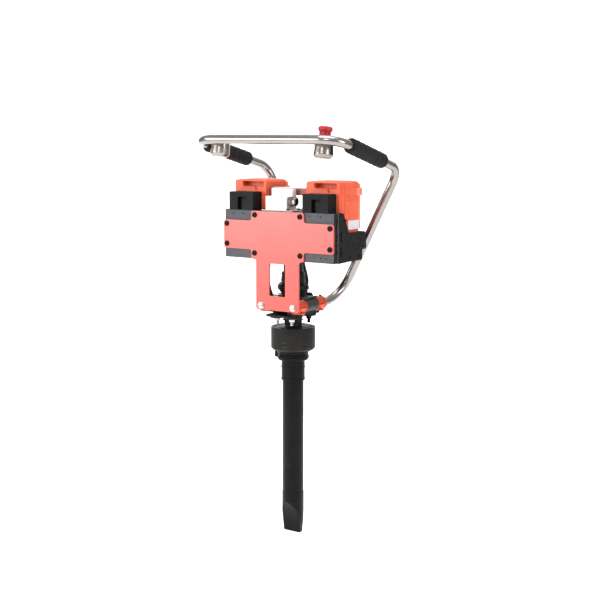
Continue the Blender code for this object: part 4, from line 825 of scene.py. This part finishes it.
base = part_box("main_housing")[0].z
low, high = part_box("side_bracket_right")
outline = [
    (-0.0570, base - 0.0010), (0.0615, base + 0.0030), (0.0635, base + 0.0290), (0.0845, base + 0.0310),
    (0.0875, base + 0.0360), (0.0825, base + 0.0720), (0.0775, base + 0.0797), (-0.0030, base + 0.0797),
    (-0.0315, base + 0.1333), (-0.0570, base + 0.1343),
]
outline = rounded(outline, [0.001, 0.003, 0.003, 0.003, 0.003, 0.004, 0.004, 0.005, 0.003, 0.001])
slots = [
    rectangle(-0.0450, base + 0.0160, -0.0400, base + 0.0420, 0.0012),
    rectangle(-0.0450, base + 0.0580, -0.0400, base + 0.0840, 0.0012),
]
vents = [(0.020, 0.044), (0.032, 0.032), (0.044, 0.044), (0.056, 0.056), (0.044, 0.062), (0.020, 0.062),
         (0.032, 0.053), (0.060, 0.034), (0.012, 0.030), (0.068, 0.066)]
for index, (y, z) in enumerate(vents):
    slots.append(disc(y, base + z, 0.0022 if index < 5 else 0.0015))
for side, label in SIDES:
    near, far = sorted((side * low.x, side * high.x))
    mesh = plate(outline, "YZ", near, far, slots, 0.0005)
    shown("bracket_" + label, mesh, BLACK_COAT, node="side_bracket_" + label)
    heads = []
    for y, z in ((-0.050, 0.008), (-0.050, 0.126), (0.052, 0.012), (0.006, 0.012), (-0.020, 0.114)):
        place = aimed((side * high.x, y, base + z), (side, 0, 0))
        heads.append(button_head(0.0034, 0.0018, place))
    merged("bracket_screws_" + label, heads, OXIDE)
    # A thin zinc-coloured strip down each bracket's front edge is a painted highlight for the light that
    # edge catches.
    inside, outside = sorted((side * (low.x + 0.0002), side * (high.x - 0.0002)))
    painted_edge_highlight = plate(rectangle(inside, base - 0.0006, outside, base + 0.1336, 0.0004), "XZ",
                     -0.0582, -0.0568, width=0.0001)
    shown("bracket_cut_edge_" + label, painted_edge_highlight, ZINC)
    # Dim red discs set in the small vent holes are painted reflections: they give the holes the reddish
    # reflections seen in them.
    near, far = sorted((side * (low.x + 0.0001), side * (high.x - 0.0006)))
    painted_reflection_dots = [plate(disc(y, base + z, 0.0013), "YZ", near, far, width=0.0002) for y, z in vents[5:]]
    merged("bracket_plugs_" + label, painted_reflection_dots, RED_PAINT_IN_SHADE)


# ---- batteries, latches, receivers
def soft_block(low, high, corner, crown):
    """A block with rounded upright corners and a crowned top edge."""
    levels = [(0.0, low.z)]
    for step in range(7):
        angle = math.radians(90 * step / 6)
        levels.append((crown * (1 - math.cos(angle)), high.z - crown + crown * math.sin(angle)))
    rings = []
    for inset, z in levels:
        outline = rectangle(low.x + inset, low.y + inset, high.x - inset, high.y - inset,
                            max(corner - inset * 0.6, 0.002))
        rings.append([Vector((x, y, z)) for x, y in outline])
    return loft(rings)


def battery(side, label):
    """One battery pack with its raised front cap, side panels, grooves and blank label."""
    node = "battery_" + label
    low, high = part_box(node)
    inner, outer, front, rear, top = low.x, high.x, low.y, high.y, high.z
    pad_low, pad_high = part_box("battery_latch_" + label)
    slack = 0.0004
    recess = rectangle(inner + 0.026, top - 0.0185, outer - 0.0085, top - 0.0040, 0)
    pocket = rectangle(pad_low.y - slack, pad_low.z - slack, pad_high.y + slack, pad_high.z + slack, 0)
    cutters = [
        plate(recess, "XZ", front - 0.01, front + 0.018, width=0.0),
        plate(pocket, "YZ", pad_low.x - 0.0029, pad_high.x + 0.01, width=0.0),
    ]
    shell = cut(soft_block(low, high, 0.0065, 0.0085), cutters)
    cleaned(shell, 0.0)
    shown(node + "_shell", shell, ORANGE_PLASTIC, node, node=node)
    parts = []
    cap = front - 0.0045
    left, right = inner + 0.0003, outer - 0.0003
    crest = top - 0.0004
    rim = rounded([(left, 0.905), (right, 0.905), (right, crest), (left, crest)],
                  [0.001, 0.001, 0.0085, 0.0085], 6)
    gap = rounded([
        (inner + 0.0262, top - 0.0183), (outer - 0.0400, top - 0.0183), (outer - 0.0370, top - 0.0300),
        (outer - 0.0270, top - 0.0300), (outer - 0.0250, top - 0.0183), (outer - 0.0088, top - 0.0183),
        (outer - 0.0088, top - 0.0046), (inner + 0.0262, top - 0.0046),
    ], 0.0012)
    parts.append(plate(rim, "XZ", cap, front + 0.004, [gap], 0.0014))
    lip = rectangle(inner + 0.0265, top - 0.0200, outer - 0.0395, top - 0.0183, 0.0006)
    parts.append(plate(lip, "XZ", cap - 0.0010, front + 0.010, width=0.0006))
    for face, x in ((1, outer), (-1, inner)):
        a, b = sorted((x - face * 0.0006, x + face * 0.0011))
        bands = [
            rectangle(front + 0.004, 0.8480, rear - 0.006, 0.8755, 0.0012),
            rectangle(front + 0.020, 0.8772, rear - 0.006, 0.9560, 0.0012),
            rectangle(front + 0.020, 0.9580, rear - 0.006, 0.9652, 0.0012),
            rectangle(front + 0.020, 0.9905, rear - 0.006, 0.9965, 0.0012),
            rectangle(front + 0.0045, 0.8772, front + 0.0180, 0.9965, 0.0015),
        ]
        beside_latch = (face > 0) == (pad_high.x > (inner + outer) / 2)
        end = 0.049 if beside_latch else rear - 0.006
        bands.append(rectangle(front + 0.020, 0.9670, end, 0.9887, 0.0012))
        parts += [plate(band, "YZ", a, b, width=0.0004) for band in bands]
    back = rectangle(inner + 0.0006, 0.8750, outer - 0.0006, top - 0.0065, 0.004)
    parts.append(plate(back, "XZ", rear - 0.004, rear + 0.0062, width=0.0030))
    for z in (0.895, 0.930, 0.965):
        parts.append(plate(rectangle(inner + 0.014, z - 0.011, outer - 0.014, z + 0.011, 0.004), "XZ",
                           rear + 0.0055, rear + 0.0074, width=0.0006))
    lid = rectangle(inner + 0.012, front + 0.026, outer - 0.012, rear - 0.010, 0.006)
    parts.append(plate(lid, "XY", top - 0.0006, top + 0.0010, width=0.0005))
    merged("battery_mouldings_" + label, parts, ORANGE_PLASTIC, node)
    x = outer if side > 0 else inner
    a, b = sorted((x + side * 0.0010, x + side * 0.0014))
    sticker = plate(rectangle(0.008, 0.8765, 0.0625, 0.9015, 0.0010), "YZ", a, b, width=0.0001)
    shown("battery_label_" + label, sticker, LABEL, node)


for side, label in SIDES:
    battery(side, label)
    node = "battery_latch_" + label
    low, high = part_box(node)
    refined(node, ORANGE_PLASTIC, 0.0040)
    ribs = []
    for z in (0.9725, 0.9765, 0.9805):
        ribs.append(plate(rectangle(0.0565, z, 0.0715, z + 0.0016, 0.0006), "YZ",
                          high.x - 0.0006, high.x + 0.0004, width=0.0002))
    merged("latch_ribs_" + label, ribs, ORANGE_PLASTIC, "latch_" + label)

    node = "receiver_block_" + label
    low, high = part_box(node)
    refined(node, BLACK_PLASTIC, 0.0012)
    heads = []
    for x in (low.x + 0.0185, low.x + 0.0530):
        heads.append(button_head(0.0023, 0.0008, aimed((x, low.y, low.z + 0.0215), (0, -1, 0))))
    for y in (low.y + 0.008, high.y - 0.008):
        for x in (low.x + 0.008, high.x - 0.008):
            heads.append(button_head(0.0024, 0.0010, aimed((x, y, high.z))))
    merged("receiver_screws_" + label, heads, OXIDE)
    blades = []
    for index in range(4):
        x = low.x + 0.018 + 0.016 * index
        blades.append(plate(rectangle(x, low.z + 0.010, x + 0.006, low.z + 0.030, 0.0005), "XZ",
                            high.y - 0.0003, high.y + 0.0006, width=0.0001))
    merged("receiver_contacts_" + label, blades, BRONZE_GREY)

# ---- control box, connector, bridge
refined("control_box", WHITE_PLASTIC, 0.0012)
low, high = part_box("control_box")
spots = ((high.x - 0.0160, -0.0660), (high.x - 0.0065, -0.0290),
         (low.x + 0.0055, -0.0640), (low.x + 0.0055, -0.0290))
heads = [button_head(0.0052, 0.0036, aimed((x, y, HOUSING_TOP + 0.0029))) for x, y in spots]
merged("control_box_screws", heads, OXIDE)
seam = plate(rectangle(-0.0446, -0.0702, 0.0256, -0.0213, 0.002), "XY", HOUSING_TOP + 0.0195,
             HOUSING_TOP + 0.0203, width=0.0002)
shown("control_box_seam", seam, WHITE_PLASTIC)

low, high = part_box("box_connector")
middle = Vector((low.x, (low.y + high.y) / 2, (low.z + high.z) / 2))
radius = (high.y - low.y) / 2
place = aimed(middle, (1, 0, 0))
collar = [(0.006, 0.0002), (radius - 0.0015, 0.0002), (radius - 0.0015, 0.0035, 0.0003)]
for index in range(4):
    z = 0.0038 + 0.0026 * index
    collar += [(radius, z, 0.0003), (radius, z + 0.0016, 0.0003), (radius - 0.0009, z + 0.0019, 0.0002)]
collar += [(radius - 0.0012, 0.0150, 0.0004), (0.006, 0.0150)]
shell = [
    (0.0062, 0.0140), (radius - 0.0030, 0.0140), (radius - 0.0030, 0.0165, 0.0005),
    (radius - 0.0012, 0.0172, 0.0006), (radius - 0.0012, 0.0225, 0.0008), (radius - 0.0040, 0.0248, 0.0010),
    (0.0092, 0.0252, 0.0005), (0.0086, 0.0235, 0.0005), (0.0062, 0.0235),
]
insert = [(0.0, 0.0130), (0.0085, 0.0130), (0.0085, 0.0238, 0.0005), (0.0060, 0.0240, 0.0004),
          (0.0055, 0.0225, 0.0003), (0.0, 0.0225)]
shown("connector_collar", turned(collar, place, 72, True), BRONZE_GREY, node="box_connector")
shown("connector_shell", turned(shell, place, 72, True), CHROME)
shown("connector_insert", turned(insert, place, 48), BLACK_PLASTIC)

# The bridge's dark red is painted shade, and the aluminium-coloured strip over its top is a painted
# highlight for the light its top edge catches.
refined("battery_bridge", RED_PAINT_IN_SHADE, 0.0008)
low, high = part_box("battery_bridge")
painted_top_highlight = plate(rectangle(low.x + 0.004, low.y + 0.001, high.x - 0.004, high.y - 0.001, 0.002), "XY",
             high.z - 0.0002, high.z + 0.0012, width=0.0004)
shown("bridge_trim", painted_top_highlight, ALUMINIUM)

# ---- handle, grips, cups
corners = [Vector((ROD_X, ROD_END_Y, ROD_Z)), FOOT_CORNER, REAR_CORNER, BAR]
mirrored = [Vector((-point.x, point.y, point.z)) for point in reversed(corners)]
bends = [FOOT_BEND, REAR_BEND, BAR_BEND]
route = filleted(corners + mirrored, bends + bends[::-1], 18)
shown("hoop", swept(route, TUBE_RADIUS, 56), STAINLESS, node="handle_tube")



def grip_wave(t):
    """The rounding at a grip's ends and its slight waves, by the share of its length."""
    from_end = min(t, 1 - t) * 2 * GRIP_HALF
    drop = GRIP_END - math.sqrt(max(0.0, GRIP_END**2 - max(0.0, GRIP_END - from_end) ** 2))
    wave = 0.00045 * math.sin(t * 47) + 0.00030 * math.sin(t * 83 + 1.3)
    return wave * min(1.0, from_end / 0.01) - drop


for side, label in SIDES:
    along = (REAR_CORNER - BAR).normalized()
    centre = BAR + along * ((GRIP_Y - BAR.y) / along.y)
    centre.x *= side
    along.x *= side
    steps = 96
    route = [centre + along * (GRIP_HALF * (2 * i / steps - 1)) for i in range(steps + 1)]
    grip = shown("foam_" + label, swept(route, GRIP_RADIUS, 56, grip_wave), FOAM)
    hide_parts("foam_grip_" + label)

lean = Vector((0, math.sin(CUP_TILT), math.cos(CUP_TILT)))
back = Vector((0, math.cos(CUP_TILT), -math.sin(CUP_TILT)))
cup_places = {}
for side, label in SIDES:
    origin = Vector((side * CUP_X, BAR.y, BAR.z)) + back * CUP_OFFSET
    place = aimed(origin, lean)
    cup_places[label] = place
    hole = 0.0112 if side < 0 else 0.0099
    profile = [
        (0.0, -0.0406), (0.0200, -0.0406, 0.0030), (0.0243, -0.0355, 0.0020),
        (0.0228, -0.0082, 0.0010), (hole, -0.0078, 0.0003), (hole, -0.0022), (0.0160, -0.0020, 0.0008),
        (0.0160, -0.0048, 0.0003), (0.0238, -0.0050, 0.0010), (0.0250, -0.0066, 0.0008),
        (0.0270, -0.0345, 0.0060), (0.0205, -0.0430, 0.0050), (0.0, -0.0434),
    ]
    shown("cup_" + label, turned(profile, place, 96), CUP_STEEL, node="switch_cup_" + label)
    beads = []
    for height in (-0.0058, -0.0125):
        run = []
        for step in range(13):
            angle = math.radians(-35 + 70 * step / 12)
            reach = 0.0256 + 0.0006 * math.cos(step * 2.1)
            spot = origin - back * (reach * math.cos(angle)) + Vector((reach * math.sin(angle), 0, 0))
            run.append(spot + lean * (height + 0.0005 * math.sin(step * 1.7)))
        beads.append(swept(run, 0.0016, 12, lambda t: 0.0003 * math.sin(t * 60)))
    merged("cup_welds_" + label, beads, BRONZE_GREY)
    rim = washer(0.0148, hole + 0.0002, 0.0022, place @ Matrix.Translation((0, 0, -0.0022)))
    shown("cup_bezel_" + label, rim, BLACK_PLASTIC)

place = cup_places["right"]
profile = [(0.0, 0.0240), (0.0094, 0.0240), (0.0094, -0.0250, 0.0010), (0.0, -0.0250)]
shown("stop_stem", turned(profile, place, 48), BLACK_PLASTIC, "stop_plunger", node="stop_plunger")
head = [
    (0.0, 0.0405), (0.0095, 0.0405), (0.0110, 0.0398, 0.0008), (0.0165, 0.0398, 0.0014),
    (0.0185, 0.0375, 0.0014), (0.0185, 0.0295, 0.0014), (0.0166, 0.0268, 0.0010), (0.0130, 0.0262, 0.0006),
    (0.0125, 0.0095, 0.0006), (0.0158, 0.0085, 0.0006), (0.0158, 0.0060, 0.0004), (0.0098, 0.0060),
    (0.0098, 0.0243), (0.0, 0.0243),
]
meshes = [turned(head, place, 96)]
for index in range(10):
    angle = 2 * math.pi * index / 10
    flute = [circle(0.0026 - 0.0004 * abs(k - 4) / 4, 0.0075 + 0.0200 * k / 8, 16) for k in range(9)]
    meshes.append(smoothed(loft(flute), place @ Matrix.Translation(polar(0.0132, angle))))
for index in range(24):
    angle = 2 * math.pi * index / 24
    knurl = loft([circle(0.0009, 0.0305, 8), circle(0.0011, 0.0330, 8), circle(0.0009, 0.0368, 8)])
    meshes.append(smoothed(knurl, place @ Matrix.Translation(polar(0.0183, angle))))
merged("stop_mushroom", meshes, RED_PLASTIC, "stop_head", node="emergency_stop")

profile = [
    (0.0, 0.0036), (0.0070, 0.0038, 0.0006), (0.0090, 0.0030, 0.0010), (0.0106, 0.0012, 0.0010),
    (0.0106, -0.0190, 0.0008), (0.0, -0.0190),
]
cap = turned(profile, cup_places["left"], 64)
shown("start_cap", cap, BLACK_PLASTIC, "start_button", node="start_button")

# ---- cable fittings
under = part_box("main_housing")[0].z
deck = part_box("base_plate")[0].z + 0.0060
for name, spot, direction in (
    ("power_upper", Vector((-0.0500, -0.0450, under)), (0, 0, -1)),
    ("power_lower", Vector((-0.0165, -0.0635, deck)), (0, 0, 1)),
    ("signal_upper", Vector((0.0040, 0.0435, under)), (0, 0, -1)),
    ("signal_lower", Vector((0.0000, 0.0600, deck)), (0, 0, 1)),
):
    place = aimed(spot, direction)
    meshes = [
        hex_head(0.0150, 0.0045, place),
        turned([(0.0048, 0.0040), (0.0066, 0.0040), (0.0066, 0.0095, 0.0012), (0.0048, 0.0110)],
               place, 40, True),
    ]
    body = "frame" if name.endswith("upper") else "hammer"
    merged("cable_gland_" + name, meshes, BLACK_PLASTIC, body)

# ---- finishes of the inner CAD pieces
for node, material in (
    ("motor_housing", ALUMINIUM), ("motor_stator", COPPER), ("motor_shaft", ALUMINIUM),
    ("rotor_core", OXIDE), ("coupling_spider", RED_PLASTIC), ("eccentric_shaft", ALUMINIUM),
    ("eccentric_weight", OXIDE), ("lower_bearing", ZINC), ("upper_bearing", ZINC),
    ("signal_cable", RUBBER), ("exciter_cable", RUBBER),
):
    nodes[node].data.materials.clear()
    nodes[node].data.materials.append(material)

# ---- studio
white = bpy.data.materials.new("studio_white")
white.use_nodes = True
tree = white.node_tree
shader = tree.nodes["Principled BSDF"]
place = tree.nodes.new("ShaderNodeTexCoord").outputs["Object"]
link(tree, blended(tree, noise(tree, place, 3), (0.90, 0.90, 0.90), (0.93, 0.93, 0.93)),
     shader.inputs["Base Color"])
shader.inputs["Roughness"].default_value = 0.9
shader.inputs["Emission Color"].default_value = (1, 1, 1, 1)
shader.inputs["Emission Strength"].default_value = 0.62

sweep = bpy.data.meshes.new("studio_sweep")
FLOOR_Z = -0.001
COVE = 1.2
COVE_START = 2.4
section = [(-4.2, FLOOR_Z), (COVE_START, FLOOR_Z)]
for step in range(1, 13):
    angle = math.radians(90 * step / 12)
    section.append((COVE_START + COVE * math.sin(angle), COVE + FLOOR_Z - COVE * math.cos(angle)))
section.append((COVE_START + COVE, 4.5))
rows = []
ahead = Vector((-math.sin(YAW), math.cos(YAW), 0))
for depth, height in section:
    for wide in (-2.6, 2.6):
        rows.append(level * wide + ahead * depth + Vector((0, 0, height)))
faces = [(2 * i, 2 * i + 1, 2 * i + 3, 2 * i + 2) for i in range(len(section) - 1)]
sweep.from_pydata([tuple(row) for row in rows], [], faces)
for face in sweep.polygons:
    face.use_smooth = True
sweep.materials.append(white)
floor = bpy.data.objects.new("studio_sweep", sweep)
scene.collection.objects.link(floor)


def lamp(name, place, target, width, height, power):
    """A rectangular softbox aimed at a point."""
    data = bpy.data.lights.new(name, "AREA")
    data.shape = "RECTANGLE"
    data.size = width
    data.size_y = height
    data.energy = power
    obj = bpy.data.objects.new(name, data)
    scene.collection.objects.link(obj)
    aim = Vector(target) - Vector(place)
    obj.matrix_world = Matrix.Translation(place) @ aim.to_track_quat("-Z", "Y").to_matrix().to_4x4()


lamp("key", (-1.85, -2.5, 1.36), (0, 0, 0.9), 1.7, 1.3, 56)
lamp("side", (2.9, -0.4, 1.5), (0, 0, 0.85), 0.9, 1.6, 30)
lamp("top", (0.1, -0.4, 3.1), (0, 0, 0.9), 1.8, 1.8, 42)
lamp("front", (0.9, -3.2, 2.2), (0, 0, 0.7), 1.0, 1.0, 20)
lamp("rim", (-2.2, 1.3, 1.7), (0, 0, 0.9), 0.7, 1.4, 14)

world = bpy.data.worlds.new("studio_air")
scene.world = world
world.use_nodes = True
tree = world.node_tree
background = tree.nodes["Background"]
direction = tree.nodes.new("ShaderNodeTexCoord").outputs["Generated"]
parts = tree.nodes.new("ShaderNodeSeparateXYZ")
link(tree, direction, parts.inputs["Vector"])
height = spread(tree, parts.outputs["Z"], 0.0, 1.0, -0.15, 0.55)
link(tree, blended(tree, height, (0.60, 0.57, 0.55), (1.0, 1.0, 1.0)), background.inputs["Color"])
background.inputs["Strength"].default_value = 0.66
